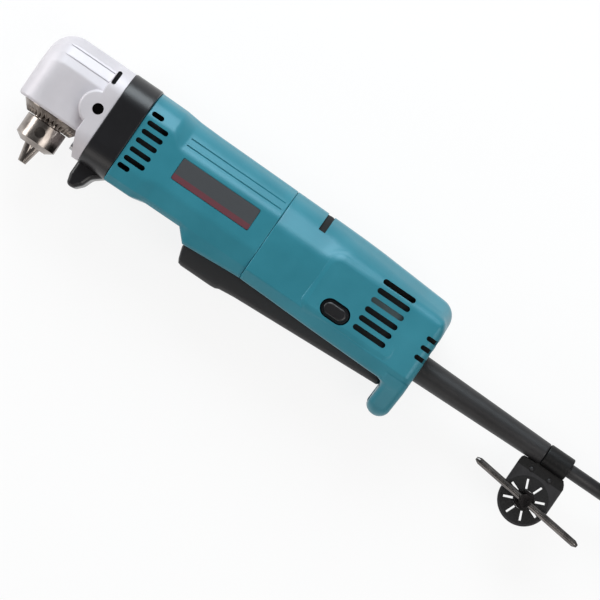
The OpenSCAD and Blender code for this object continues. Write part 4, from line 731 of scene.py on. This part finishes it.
# Motor housing: facetted barrel with a fuller front ring, side skirts and vents
housingSizes = {
    "x": (collarSizes["x"][1], seamX), "half": 30.0, "ringEnd": 83.0, "blendEnd": 93.0, "wall": 2.6,
    "edge": 0.7, "skirtX": (115.0, 121.6), "webX": 155.1, "slotHalf": 14.3, "slotX": 119.0, "slotTop": -25.0,
    "ventX": (68.7, 82.1), "shortX": (68.0, 75.6), "ventH": 2.9,
    "ventY": (16.2, 10.7, 5.2, -0.4, -6.3, -12.0, -17.2),
    "grooveX": (93.6, 156.0), "grooveY": (16.6, 12.3), "grooveZ": (24.0, 26.9), "grooveH": 0.75, "shaftR": 4.5,
    "top": ((66.2, 28.4), (83.0, 28.2), (93.0, 27.2), (106.0, 26.8), (seamX, 26.1)),
    "low": ((66.2, -29.0), (83.0, -28.8), (91.0, -26.9), (115.0, -26.8), (121.6, -33.9), (155.0, -31.6),
            (seamX, -31.6)),
    "radii": (12, 18, 9, 14, 3, 2.5), "innerRadii": (3, 4, 3, 3, 2, 2),
    # the section's corners on the barrel, and what the front ring adds: heights, shares of the half width
    "facetDrop": (4.2, -1.4), "flatTop": (8.6, 5.4), "flatLow": (-14.4, -2.0),
    "skirtTop": -25.0, "skirtLip": 2.0,
    "sideShares": ((0.34, 0.06), (0.68, 0.1), (1, 0), (1, 0), (0.9, 0.03), (0.8, 0.04)),
}
# bare plate let into the left side
labelSizes = {"middle": (121.75, -1.05), "size": (50.5, 13.1), "corner": 1.0, "bandTop": -4.2, "deep": 0.8,
              "proud": 0.05, "edge": 0.15, "gap": 0.3}
edgeSteps = np.array([0, 0.1, 0.35, 0.7])  # stations over a shell's round front or rear edge


def housingSection(x, inset=0.0):
    # corners of the barrel: height from its top and bottom lines, side as a share of the half width
    s = housingSizes
    ring = 1 - blend(x, s["ringEnd"], s["blendEnd"])
    top = np.interp(x, *zip(*s["top"])) - inset
    low = np.interp(x, *zip(*s["low"])) + inset
    wide = s["half"] - inset
    drop, flatTop, flatLow = (a + b * ring for a, b in (s["facetDrop"], s["flatTop"], s["flatLow"]))
    heights = (top, top - drop, flatTop, flatLow, np.maximum(s["skirtTop"], low + s["skirtLip"]), low)
    return sections(*((y, (a + b * ring) * wide) for y, (a, b) in zip(heights, s["sideShares"])))


def buildHousing():
    # rounded sections along x, hollowed by the same sections drawn in by the wall, then slotted and grooved
    s, p = housingSizes, labelSizes
    x0, x1 = s["x"]
    x = stations(x0 + edgeSteps, np.linspace(x0 + 1.5, s["ringEnd"], 6),
                 np.linspace(s["ringEnd"], s["blendEnd"], 15), np.linspace(s["blendEnd"], s["skirtX"][0], 6),
                 np.linspace(*s["skirtX"], 5), np.linspace(s["skirtX"][1], x1 - s["edge"], 8), x1 - edgeSteps)
    fall = quarterDrop(np.minimum(x - x0, x1 - x), s["edge"])
    shell = loft("motorHousing", x, housingSection(x, fall), s["radii"])
    inner = stations(x0 - 1, np.linspace(x0, s["webX"], 30))
    room = loft("motorRoom", inner, housingSection(inner, s["wall"]), s["innerRadii"], 4, 1)
    cuts = [room, rod("shaftBore", (0, 0, 0), 0, s["shaftR"], x0, x1 + 5, 32),
            box("leverSlot", (s["slotX"], -far, -s["slotHalf"]), (x1 + 5, s["slotTop"], s["slotHalf"]))]
    for i, y in enumerate(s["ventY"]):
        cuts.append(ventCut(s["shortX" if i in (0, len(s["ventY"]) - 1) else "ventX"], y, s["ventH"]))
    (g0, g1), tall = s["grooveX"], s["grooveH"] / 2
    for y, z in zip(s["grooveY"], s["grooveZ"]):
        for low, high in (span(side, z) for side in (1, -1)):
            cuts.append(box("groove", (g0, y - tall, low), (g1, y + tall, high)))
    seat = roundRect(p["middle"], np.array(p["size"]) + 2 * p["gap"], p["corner"])
    cuts.append(prism("plateSeat", seat, s["half"] - p["deep"], far))
    carve(shell, cuts, sharp=28)
    return dress(shell, teal, "housing", "teal_plastic", "motor_housing")


def labelFinish():
    # dark grey field with a dull red band along its lower edge, read from the height on the tool
    f = Finish("labelPlate")
    height, = f.axes("Y")
    cloud = f.noise(200, 3)
    band = height < float(origin[1] + labelSizes["bandTop"] * mm)
    field = f.mix(cloud * 0.5, linear(68, 70, 73), linear(56, 58, 61))
    return f.done(Base_Color=f.mix(band, field, linear(98, 52, 60)), Roughness=0.34 + cloud * 0.12)


def buildLabel():
    # rounded rectangle with soft rims, just proud of the barrel
    p, side = labelSizes, housingSizes["half"]
    outline = roundRect(p["middle"], p["size"], p["corner"], lineSteps=6)
    plate = pillow("namePlate", outline, side - p["deep"], side + p["proud"], p["edge"], 3)
    return dress(plate, labelFinish(), "housing", "label_plate", "nameplate")


buildHousing()
buildLabel()
print("motor housing built")

# Handle: two moulded halves with a hook at the rear, a flush switch panel and rows of vents
handleSizes = {
    "half": 30.4, "wall": 2.4, "edge": 0.7, "rearTopR": 9.9, "rearSideR": 5.0, "facetY": (4.5, 11.5),
    "facetX": (188.5, 199.0), "railY": -25.4, "crown": 0.9, "crownY": -6.0,
    "facetDrop": 6.2, "facetLeast": 8.0, "facetSinkShare": 0.3, "sideShares": (0.32, 0.74, 0.86),
    "slotHalf": housingSizes["slotHalf"], "slotTop": -26.0,
    "hookX": (254.9, 268.0), "hookLow": -52.0, "hookLean": 1.0, "hookHalf": (14.5, 26.2, 30.0),
    "hookEdge": 3.6, "hookR": 6.2, "hookRoot": (-31, -28.5), "filletR": 4.0, "edgeY": -33.4,
    "pin": (257.16, -30.48), "heelRoom": 4.4, "panel": (222.75, -7.25), "panelSize": (66.5, 41.5),
    "panelR": (8, 8, 8, 11), "panelEdge": 6.0, "panelLow": 20.0, "panelTop": 30.95,
    "panelLean": 0.016, "partW": 0.5, "partDeep": 0.45, "partY": (-70, 60), "keepY": 80,
    "reverseX": (178.7, 182.9), "reverseLow": 15.0, "lock": (211.7, -17.2), "lockHole": (18.0, 11.0),
    "lockLow": 10.0, "ventX": (224.0, 245.0), "ventH": 3.2, "ventY": (12.0, 6.2, 0.2, -5.9, -11.7, -17.6),
    "cornerX": (261.0, 280.0), "cornerH": 2.7, "cornerZ": 19.0, "cornerY": (-0.4, -6.2, -12.4),
    "guardY": cordSizes["axis"], "guardR": 8.15, "guardDeep": 9.0, "screwR": 3.0, "screwReach": -50,
    "top": ((seamX, 26.1), (189, 25.6), (203, 25.3), (216, 24.8), (230, 23.9), (244, 23.0), (258, 22.1),
            (268, 21.7)),
    "low": ((seamX, -31.6), (175, -31.9), (203, -32.7), (244, -33.4), (268, -33.4)),
    "radii": (14, 26, 14, 80, 2.5, 3), "innerRadii": (3, 4, 2, 20, 2, 2),
    # screws on the right side: x, y and the floor of the seat
    "screws": ((166.9, -20.5, -9.3), (219.1, 16.5, -9.3), (260.3, 9.2, -9.3), (260.3, -43.9, -6.2)),
}


def handleSection(x, inset=0.0):
    # corners of the grip: height from its top and bottom lines, side as a share of the half width
    s = handleSizes
    top = np.interp(x, *zip(*s["top"])) - quarterDrop(rearX - x, s["rearTopR"]) - inset
    low = np.interp(x, *zip(*s["low"])) + inset
    wide = s["half"] - quarterDrop(rearX - x, s["rearSideR"]) - inset
    # the upper facet reaches further down in front of the switch panel
    facet = s["facetY"][0] + (s["facetY"][1] - s["facetY"][0]) * blend(x, *s["facetX"])
    upper, facetSide, lower = (share * wide for share in s["sideShares"])
    return sections((top, upper), (top - s["facetDrop"], facetSide),
                    (np.minimum(facet, top - s["facetLeast"]), wide - s["crown"] * s["facetSinkShare"]),
                    (s["crownY"], wide), (s["railY"], wide - s["crown"]), (low, lower))


def buildPanel():
    # rounded rectangle with soft rims whose top leans into the handle towards the rear
    s = handleSizes
    outline = roundRect(s["panel"], s["panelSize"], s["panelR"], 10, 12)
    panel = pillow("panel", outline, s["panelLow"], s["panelTop"], s["panelEdge"])
    points = np.empty(len(panel.data.vertices) * 3)
    panel.data.vertices.foreach_get("co", points)
    points = points.reshape(-1, 3)
    front = s["panel"][0] - s["panelSize"][0] / 2
    points[:, 2] -= s["panelLean"] * (points[:, 0] - toRow([front, 0, 0])[0])
    panel.data.vertices.foreach_set("co", points.ravel())
    return panel


def buildHook(inset=0.0):
    # rounded rectangles in x and z, stacked downwards: full width at the handle, narrow at the tip
    s = handleSizes
    (x0, x1), low, base = s["hookX"], s["hookLow"] + inset, s["edgeY"]
    y = stations(low + s["hookR"] * quarterSteps(10), np.linspace(low + s["hookR"], base - s["filletR"], 8),
                 base - s["filletR"] * np.cos(np.linspace(0, math.pi / 2, 8)), s["hookRoot"])
    fall = quarterDrop(y - low, s["hookR"])
    below = (base - y).clip(0)
    lean = s["hookLean"] * below / (base - low)
    left = x0 + inset - lean + fall - quarterDrop(below, s["filletR"])
    right = np.minimum(x1 - lean - fall, rearX - 0.02) - inset
    half = np.interp(y, (low, base, s["railY"]), s["hookHalf"]) - 0.8 * fall - inset
    edge = np.minimum(s["hookEdge"], 0.45 * (right - left))
    corners = sections((left, -half), (right, -half), (right, half), (left, half))
    loops = roundPoly(corners, np.repeat(edge[:, None], 4, 1), 8, 6)
    tall = np.broadcast_to(y[:, None], loops.shape[:2])
    return skin("hook", np.stack([loops[..., 0], tall, loops[..., 1]], -1))


def buildHandle():
    # rounded sections along x joined with hook and panel, hollowed and slotted, then parted at the middle
    s = handleSizes
    front, slot = s["hookX"][0], s["slotHalf"]
    x = stations(seamX + edgeSteps, np.linspace(seamX + 1.5, rearX - s["rearTopR"], 26),
                 rearX - s["rearTopR"] * quarterSteps(12), rearX - s["rearSideR"] * quarterSteps(12))
    shell = loft("handleShell", x, handleSection(x, quarterDrop(x - seamX, s["edge"])), s["radii"], arcSteps=9)
    carve(shell, [buildHook(), buildPanel()], "UNION")
    inner = stations(seamX - 1, np.linspace(seamX, rearX - 3.5, 24))
    (r0, r1), (pinX, _), part, keep = s["reverseX"], s["pin"], s["partY"], s["keepY"]
    room = loft("handleRoom", inner, handleSection(inner, s["wall"]), s["innerRadii"], 4, 1)
    cuts = [room, box("leverSlot", (seamX - 1, part[0], -slot), (front - 0.1, s["slotTop"], slot)),
            box("heelRoom", (front - 1, s["edgeY"] + 0.2, -slot), (pinX + s["heelRoom"], s["slotTop"], slot)),
            box("reverseSlot", (r0, s["reverseLow"], -far), (r1, far, far)),
            prism("lockHole", slotOutline(*s["lock"], *s["lockHole"], 16), s["lockLow"], far),
            rod("guardHole", (0, s["guardY"], 0), 0, s["guardR"], rearX - s["guardDeep"], rearX + 5, 48)]
    cuts += [ventCut(s["ventX"], y, s["ventH"]) for y in s["ventY"]]
    cuts += [ventCut(s["cornerX"], y, s["cornerH"], *span(side, s["cornerZ"]))
             for y in s["cornerY"] for side in (1, -1)]
    # fine groove where the two halves meet, over the top and down the rear
    groove = box("partingLine", (seamX + 1, part[0], -s["partW"] / 2), (rearX + 5, part[1], s["partW"] / 2))
    under = stations(seamX, np.linspace(seamX + 0.5, rearX - s["partDeep"], 60))
    bed = loft("partingBed", under, handleSection(under, s["partDeep"]), s["radii"], arcSteps=9)
    cuts.append(carve(groove, [bed, buildHook(s["partDeep"])]))
    cuts += [rod("screwSeat", (px, py, 0), 2, s["screwR"], s["screwReach"], seat, 32)
             for px, py, seat in s["screws"]]
    carve(shell, cuts, sharp=28)
    for name, node, side in (("handleLeft", "handle_left", 1), ("handleRight", "handle_right", -1)):
        half = addThing(name, shell.data.copy())
        low, high = span(side, 0)
        carve(half, [box("keep", (seamX - 5, -keep, low), (rearX + 5, keep, high))], "INTERSECT", sharp=28)
        dress(half, teal, "housing", "teal_plastic", node)
    bpy.data.objects.remove(shell)


buildHandle()
print("handle built")

# Switch lever: long paddle under the handle, hung at its rear
leverSizes = {
    "half": 13.5, "edge": 3.0, "lipEdge": 0.4, "topFront": -33.5, "topRear": -31.0, "lip": -30.6, "lipT": 2.2,
    "front": 122.1, "rear": 254.2, "frontR": 3.0, "endR": 2.0, "troughEnd": 245.0, "troughTop": -20.0,
    "heelX": 246.0, "heelY": (-33.0, -31.6), "heelR": 2.6, "heelGap": 0.6, "pinR": 1.9,
    "under": ((122.1, -35.0), (122.7, -37.0), (124.2, -41.5), (125.4, -43.6), (127.4, -44.2), (147.0, -44.2),
              (150.0, -43.9), (152.0, -43.0), (161.5, -42.0), (203.0, -39.9), (252.8, -37.4), (254.2, -36.4)),
}


def buildLever():
    # rounded sections between a straight top line and the underside, with a heel round the pin and a hollow
    # from above
    s, (px, py) = leverSizes, handleSizes["pin"]
    front, rear, ends = s["front"], s["rear"], (s["topFront"], s["topRear"])
    x = stations([p[0] for p in s["under"]], np.linspace(128, 250, 40))
    low = np.interp(x, *zip(*s["under"]))
    top = np.maximum(s["lip"] - quarterDrop(x - front, s["frontR"]), np.interp(x, (front, rear), ends))
    wide = s["half"] - quarterDrop(np.minimum(x - front, rear - x), s["endR"])
    radii = np.stack(np.broadcast_arrays(s["lipEdge"], np.minimum(s["edge"], (top - low) * 0.4)), 1)
    lever = loft("switchLever", x, sections((top, wide), (low, wide)), radii)
    (h0, h1), r, heelHalf = s["heelY"], s["heelR"], s["half"] - s["heelGap"]
    corners = [(s["heelX"], h0), (px + 1, py - r), (px + r, py), (px + 1, py + r), (s["heelX"], h1)]
    heel = roundPoly([corners], [[0.3, 1.6, 1.6, 1.6, 0.3]], 5, 1)[0]
    carve(lever, [prism("heel", heel, -heelHalf, heelHalf)], "UNION", sharp=30)
    # the paddle is a trough: thin sides stand up into the handle's slot
    inner, start, end = s["half"] - s["lipT"], front + 3, s["troughEnd"]
    floorY = np.interp((start, end), (front, rear), ends)
    trough = np.array([(start, floorY[0]), (end, floorY[1]), (end, s["troughTop"]), (start, s["troughTop"])])
    pinHole = rod("pinHole", (px, py, 0), 2, s["pinR"], -far, far, 24)
    carve(lever, [prism("trough", trough, -inner, inner), pinHole], sharp=30)
    return dress(lever, leverBlack, "lever", "black_plastic", "switch_lever")


buildLever()
print("lever built")

# Dark pieces behind the vents, in the slots and in the bores, which paint the shade inside them, and a pale
# grey bar seen through one row of vents
innerPieceSizes = {
    "ring": (25.8, 26.6), "ringGap": (0.6, 1.0),
    # plates on both sides: low and high corner, near and far side
    "plates": {"ventShadePlate": ((222, -21), (247, 8.6), (25.6, 26.8)),
               "ventBar": ((223, -1.6), (246, 2.0), (26.9, 27.3)),
               "upperShadePlate": ((221, 8.4), (248, 15), (20.6, 21.8)),
               "cornerShadePlate": ((254, -14.5), (rearX - 1.2, 1.8), (19.1, 22.0))},
    # dark bed of the reversing slot, beside the lever's travel, as painted shade: height and side
    "bed": ((15.1, 12.2), (19.3, 9.4), (19.3, 7.0), (25.0, 7.0), (25.0, 8.6), (23.6, 12.0), (21.4, 15.6),
            (15.1, 22.0)),
    "gap": 0.05, "cupHole": 0.4, "cupWall": 0.4, "cupFloor": 0.6, "cupRim": 0.9, "slotFloor": 4.5,
    "slotR": 1.15,
}


def buildInnerPieces():
    # painted shade: a thin dark ring under the housing's vents, then dark plates, slot beds, cups in the bores
    #     # and slot floors for each side; the pale grey bar among the plates is a part seen through a vent
    s, h, g, gap = innerPieceSizes, housingSizes, headSizes, innerPieceSizes["gap"]
    (inner, outer), x0, x1 = s["ring"], h["x"][0] + s["ringGap"][0], h["ventX"][1] + s["ringGap"][1]
    ring = lathe("fanShadeRing", [(outer, x0), (outer, x1), (inner, x1), (inner, x0)], (0, 0, 0), 0, 64, True, 35)
    dress(ring, paintedShadeDark, "housing", "black_plastic")
    (r0, r1), boreR = handleSizes["reverseX"], g["boreR"] - gap
    deep, rim = g["bossTop"] - g["boreDeep"] + 2 * gap, g["bossTop"] - s["cupRim"]
    cup = np.array([(s["cupHole"], deep), (boreR, deep), (boreR, rim), (boreR - s["cupWall"], rim),
                    (boreR - s["cupWall"], deep + s["cupFloor"]), (s["cupHole"], deep + s["cupFloor"])])
    slotPlan = roundRect(g["slot"], np.array(g["slotSize"]) - 2 * gap, s["slotR"])
    for side, tag in ((1, "Left"), (-1, "Right")):
        for name, ((a0, b0), (a1, b1), reach) in s["plates"].items():
            low, high = span(side, *reach)
            finish, slot = (ventGrey, "pale_plastic") if name == "ventBar" else (paintedShadeDark, "black_plastic")
            dress(box(name + tag, (a0, b0, low), (a1, b1, high)), finish, "housing", slot)
        bed = prism("slotShadeBed" + tag, np.array(s["bed"]) * [1, side], r0 + gap, r1 - gap, 0)
        dress(bed, paintedShadeDark, "housing", "black_plastic")
        # dark cup in the handle's bore: painted shade
        insert = lathe("boreShadeCup" + tag, cup * [1, side], (*g["bore"], 0), 2, 40)
        dress(insert, blackSteelAndBoreShade, "housing", "bright_steel")
        # dark plate on the floor of the head's screw slot: painted shade
        floorSpan = span(side, g["slotFloor"], g["slotFloor"] + s["slotFloor"])
        dress(prism("slotFloor" + tag, slotPlan, *floorSpan), paintedShadeDark, "housing", "black_plastic")


# Knob of the reversing lever, the smooth guard on the lead and the button of the lock
reverserSizes = {"x": 181.07, "half": (1.35, 4.0), "top": 25.3, "low": 19.3, "armTop": 21.5, "armHalf": 2.0,
                 "pinX": 197.07, "pinR": 1.8, "pinLow": 12.8}
guardSizes = {"rootR": 8.1, "endR": 6.5, "length": 84.5, "axis": cordSizes["axis"], "edge": 1.2,
              "flangeR": 10.4, "flange": (-5.6, -2.6), "boreR": 4.1}
lockSizes = {"length": 14.4, "height": 7.6, "top": 30.9, "edge": 1.4, "skirt": (17.0, 10.0), "skirtTop": 28.4,
             "skirtEdge": 0.5, "low": 22.0}


def buildReverser():
    # knob with a lens-shaped plan, which clears the slot's walls as its arm swings about the pin
    r = reverserSizes
    angle, top, (wide, long) = roundTurn(32), r["top"], r["half"]
    rows = np.array([(1, r["low"] + 0.1), (1, top - 0.8), (0.9, top - 0.2), (0.72, top)])
    share, height = rows.T[:, :, None]
    knob = skin("reverseLever", np.stack([r["x"] + share * wide * np.cos(angle), height + 0 * angle,
                                          share * long * np.sin(angle)], -1))
    arm = box("arm", (r["x"], r["low"], -r["armHalf"]), (r["pinX"] + r["pinR"] / 2, r["armTop"], r["armHalf"]))
    pin = rod("pin", (r["pinX"], 0, 0), 1, r["pinR"], r["pinLow"], r["armTop"] - 0.1, 32)
    carve(knob, [arm, pin], "UNION", sharp=30)
    return dress(knob, black, "reverser", "black_plastic", "reverse_lever")


def buildGuard():
    # closed profile turned about the lead: flange in the handle, taper, round end and bore
    g = guardSizes
    (f0, f1), taper, turn = g["flange"], np.linspace(0.05, 1, 12), np.linspace(0.3, math.pi / 2, 5)
    root = [(g["flangeR"], f0), (g["flangeR"], f1), (g["rootR"], f1), (g["rootR"], 0)]
    sleeve = np.stack([g["rootR"] + (g["endR"] - g["rootR"]) * taper, taper * (g["length"] - g["edge"])], 1)
    end = np.stack([g["endR"] - g["edge"] * (1 - np.cos(turn)),
                    g["length"] - g["edge"] * (1 - np.sin(turn))], 1)
    loop = np.vstack([root, sleeve, end, [(g["boreR"], g["length"]), (g["boreR"], f0)]])
    guard = lathe("cordGuard", loop, (rearX, g["axis"], 0), 0, 48, True, 35)
    return dress(guard, rubber, "housing", "rubber", "cord_guard")


def buildLock():
    # stadium with soft rims on a wider skirt
    k, spot = lockSizes, handleSizes["lock"]
    plan = slotOutline(*spot, k["length"], k["height"], 14)
    button = pillow("lockButton", plan, k["low"], k["top"], k["edge"])
    skirt = pillow("skirt", slotOutline(*spot, *k["skirt"], 14), k["low"], k["skirtTop"], k["skirtEdge"], 3)
    carve(button, [skirt], "UNION")
    return dress(button, black, "lock", "black_plastic", "lock_button")


buildInnerPieces()
buildReverser()
guard = buildGuard()
buildLock()
print("guard, shadeLinersAndBar and lock built")

# Key holder: rubber ring on the lead with a slit disc, and the bar of the key through it
holderSizes = {
    "x": (352.5, 368.3), "axis": cordSizes["axis"], "ringR": 6.8, "ringEdge": 0.8, "boreR": 4.1,
    # above the dark band's height the rubber round the ring is painted shadow under the guard
    "disc": (356.7, -43.9), "discR": 14.8, "darkR": 13.6, "shadowBandY": -28.7, "shoulder": -23.7,
    "thick": 3.4, "edge": 0.7, "hubR": 5.6,
    "neck": (1.6, 0.4), "slits": 8, "slitR": (6.2, 11.8), "slitW": 1.3,
    # corners of the shoulder, from the disc's right and left edge and the shoulder's height
    "rightCorner": ((0, -3.4), (-1.0, -1.2), (-2.6, 0.8)), "leftCorner": ((1.2, 0.3), (0.3, -0.8), (0, -3)),
    "studs": ((350.5, -27.5), (362.2, -27.5)), "studR": 1.5, "studTop": 2.6,
}
barSizes = {"length": 73.6, "r": 2.05, "tilt": -7.0, "slide": 1.5, "z": 7.4, "taper": 2.4, "endR": 1.55,
            "tip": 1.2}


def holderFinish():
    # the lead's rubber, darker over the slit disc, and darkest round the ring, where the band is painted
    #     # shadow under the guard: distance from the disc's middle and height, in metres
    f, k = Finish("holderRubber"), holderSizes
    x, y = f.axes("X", "Y")
    cx, cy, _ = toRow([*k["disc"], 0]).tolist()
    top = float(toRow([0, k["shadowBandY"], 0])[1])
    away = ((x - cx) ** 2 + (y - cy) ** 2) ** 0.5
    bloom, grain = f.noise(60, 5, 0.6), f.noise(1800, 3, 0.7)
    plate, disc, neck = (f.ramp(bloom, (0.35, dark), (0.75, light)) for dark, light in (
        ((36, 35, 37), (52, 51, 53)), ((17, 17, 18), (27, 26, 28)), ((5, 5, 6), (10, 9, 10))))
    # the neck tone above the band's height is painted shadow under the guard
    colour = f.mix(y > top, f.mix(away < k["darkR"] * mm, plate, disc), neck)
    return f.done(Base_Color=colour, Roughness=0.36 + grain * 0.18, Specular_IOR_Level=0.3,
                  Normal=f.bump(grain, 0.25, 0.0003))


def buildHolder():
    # half disc and straight shoulders with soft rims, joined with a turned ring, then bored and slit
    k = holderSizes
    (x0, x1), (cx, cy), half, top, e = k["x"], k["disc"], k["thick"] / 2, k["shoulder"], k["ringEdge"]
    arc, left, right = np.linspace(math.pi, 2 * math.pi, 41), cx - k["discR"], cx + k["discR"]
    bowl = np.stack([cx + k["discR"] * np.cos(arc), cy + k["discR"] * np.sin(arc)], 1)
    rightC, leftC = np.array(k["rightCorner"]) + [right, top], np.array(k["leftCorner"]) + [left, top]
    rise, ridge, fall = (np.stack(np.broadcast_arrays(x, y), 1) for x, y in (
        (right, np.linspace(cy + 3, rightC[0, 1], 4)), (np.linspace(right - 5, left + 6, 6), rightC[2, 1]),
        (left, np.linspace(leftC[2, 1], cy + 3, 4))))
    outline = np.vstack([bowl, rise, rightC[1:], ridge, leftC[:2], fall])
    plate = pillow("keyHolder", outline, -half, half, k["edge"], 4)
    wide = k["ringR"]
    rim = [(wide - e, x0), (wide - 0.3 * e, x0 + 0.3 * e), (wide, x0 + e), (wide, x1 - e),
           (wide - 0.3 * e, x1 - 0.3 * e), (wide - e, x1)]
    neck = box("neck", (x0 - k["neck"][0], top - 2, 0.05 - half), (x1 - k["neck"][1], k["axis"], half - 0.05))
    carve(plate, [lathe("ring", rim, (0, k["axis"], 0), 0, 56), neck], "UNION")
    cuts = [rod("leadBore", (0, k["axis"], 0), 0, k["boreR"], x0 - 9, x1 + 9, 40),
            rod("keyBore", (cx, cy, 0), 2, k["hubR"], -9, 9, 40)]
    (r0, r1), w = k["slitR"], k["slitW"] / 2
    corners = np.array([(r0, -w), (r1, -w), (r1, w), (r0, w)])
    for turn in (np.arange(k["slits"]) + 0.5) * 2 * math.pi / k["slits"]:
        axes = np.array([(math.cos(turn), math.sin(turn)), (-math.sin(turn), math.cos(turn))])
        cuts.append(prism("slit", corners @ axes + [cx, cy], -9, 9))
    carve(plate, cuts, sharp=30)
    turn, foot = np.linspace(0, 1.4, 6), half - 0.2
    dome = np.stack([k["studR"] * np.cos(turn), foot + (k["studTop"] - foot) * np.sin(turn)], 1)
    for i, spot in enumerate(k["studs"]):
        stud = lathe("holderStud%d" % (i + 1), np.vstack([(k["studR"], half - 1), dome]), (*spot, 0), 2, 24)
        dress(stud, rubber, "housing", "rubber")
    return dress(plate, holderFinish(), "housing", "rubber", "key_holder")


def buildBar():
    # round bar across the key, drawn in towards both ends
    b, reach, tilt = barSizes, barSizes["length"] / 2, math.radians(barSizes["tilt"])
    along = np.array([-reach, b["tip"] - reach, b["taper"] - reach,
                      reach - b["taper"], reach - b["tip"], reach])
    radius = [b["endR"] * 0.6, b["endR"], b["r"], b["r"], b["endR"], b["endR"] * 0.6]
    way = np.array([math.cos(tilt), math.sin(tilt), 0])
    path = np.array([*holderSizes["disc"], b["z"]]) + (along + b["slide"])[:, None] * way
    return dress(tube("keyBar", path, radius, 32), keySteel, "key", "chuck_steel", "key_tee_bar")


holder = buildHolder()
keyBar = buildBar()

# Strap round the coil and the moulded plug on the end of the lead
strapSizes = {"thick": 0.6, "gap": 0.1, "sides": 72, "edge": 0.2}
plugSizes = {"edge": 4.0, "rimR": 3.0, "waist": 0.12, "ribs": 4, "ribDeep": 0.7, "grip": (0.3, 0.78),
             "neckLength": 14.0, "draw": 8.0, "neckR": 6.0, "neckEnd": 4.6, "neckRibs": 5, "neckRibDeep": 0.5}


def buildStrap():
    # the tightest loop round the turns that pass under the strap: in each direction the furthest turn
    # carries it
    t = strapSizes
    low, high = toolBox("coil_tie")
    under = np.abs(cordPath[:, 1] - (low[1] + high[1]) / 2) < (high[1] - low[1]) / 2
    turns = cordPath[under & (cordPath[:, 0] > low[0]) & (cordPath[:, 0] < high[0])][:, [0, 2]]
    angle = roundTurn(t["sides"])
    way = np.stack([np.cos(angle), np.sin(angle)], 1)
    inside = turns[np.argmax(turns @ way.T, axis=0)] + (cordSizes["diameter"] / 2 + t["gap"]) * way
    outside = inside + t["thick"] * way
    rows = ((outside, low[1] + t["edge"]), (outside, high[1] - t["edge"]), (inside, high[1]), (inside, low[1]))
    grid = np.stack([np.insert(loop, 1, y, 1) for loop, y in rows])
    return dress(skin("coilStrap", grid, True), webbingFinish(), "housing", "rubber", "coil_tie")


def buildPlug():
    # rounded block with a waist and grip ribs, drawn in to a ribbed neck round the lead
    p = plugSizes
    low, high = toolBox("plug_body")
    middle, half = (low + high) / 2, (high - low) / 2
    neckX = high[0] - p["neckLength"]
    drawX, (g0, g1) = neckX - p["draw"], p["grip"]
    x = stations(low[0] + np.array([0, 0.2, 0.8, 1.8, 3]), np.linspace(low[0] + 4, drawX, 30),
                 np.linspace(drawX, neckX, 14), np.linspace(neckX, high[0], 26))
    share = np.clip((x - low[0]) / (neckX - low[0]), 0, 1)
    past = np.clip((x - neckX) / (high[0] - neckX), 0, 1)
    rim = quarterDrop(x - low[0], p["rimR"])
    waves = 0.5 + 0.5 * np.cos(2 * math.pi * p["ribs"] * (share - g0) / (g1 - g0))
    rib = np.where((share > g0) & (share < g1), p["ribDeep"] * waves, 0)
    rings = (past > 0) * (0.5 - 0.5 * np.cos(2 * math.pi * p["neckRibs"] * past))
    neck = p["neckR"] + (p["neckEnd"] - p["neckR"]) * past - p["neckRibDeep"] * rings
    draw = blend(x, drawX, neckX)
    wide = (half[1] * (1 - p["waist"] * np.sin(math.pi * share)) - rim - rib) * (1 - draw) + neck * draw
    tall = (half[2] - rim - 0.4 * rib) * (1 - draw) + np.minimum(neck, half[2]) * draw
    radius = np.minimum(p["edge"] + 2.5 * draw, 0.98 * np.minimum(wide, tall))
    corners = sections(*((a * wide, b * tall) for a, b in ((1, 1), (-1, 1), (-1, -1), (1, -1)))) + middle[1:]
    loops = roundPoly(corners, np.repeat(radius[:, None], 4, 1), 9, 4)
    return dress(carry("plugBody", x, loops, 50), rubber, "housing", "rubber", "plug_body")


strap, plug = buildStrap(), buildPlug()
print("key holder, strap and plug built")

# Solids that keep their own shape get the finish of their slot
slotFinishes = {
    "black_plastic": black, "label_plate": black, "rubber": rubber, "cast_aluminium": cast,
    "chuck_steel": steel, "teal_plastic": teal,
    "bright_steel": plainFinish("groundSteel", "metal", (188, 188, 190), 0.22),
    "brass": plainFinish("brass", "metal", (196, 160, 92), 0.28),
    "laminated_iron": linedFinish("laminatedIron", (2600, 20, 20), 0.5, (74, 74, 78), (132, 130, 130), 0.8,
                                  (0.4, 0.15), (0.3, 0.0002)),
    "copper": linedFinish("windings", (300, 1700, 1700), 0.4, (120, 62, 34), (196, 118, 70), 0.75,
                          (0.32, 0.1), (0.4, 0.0003)),
    "carbon": plainFinish("carbon", "plastic", (44, 43, 43), 0.7),
    "pale_plastic": plainFinish("palePlastic", "plastic", (196, 194, 186), 0.45),
}
nodeFinishes = {"chuck_key": blackSteelAndBoreShade}
for part in frame["record"]["subparts"]:
    solid = nodes[part["node"]]
    solid.data.materials.clear()
    solid.data.materials.append(nodeFinishes.get(part["node"], slotFinishes[part["material_slot"]]))
print("solids finished")
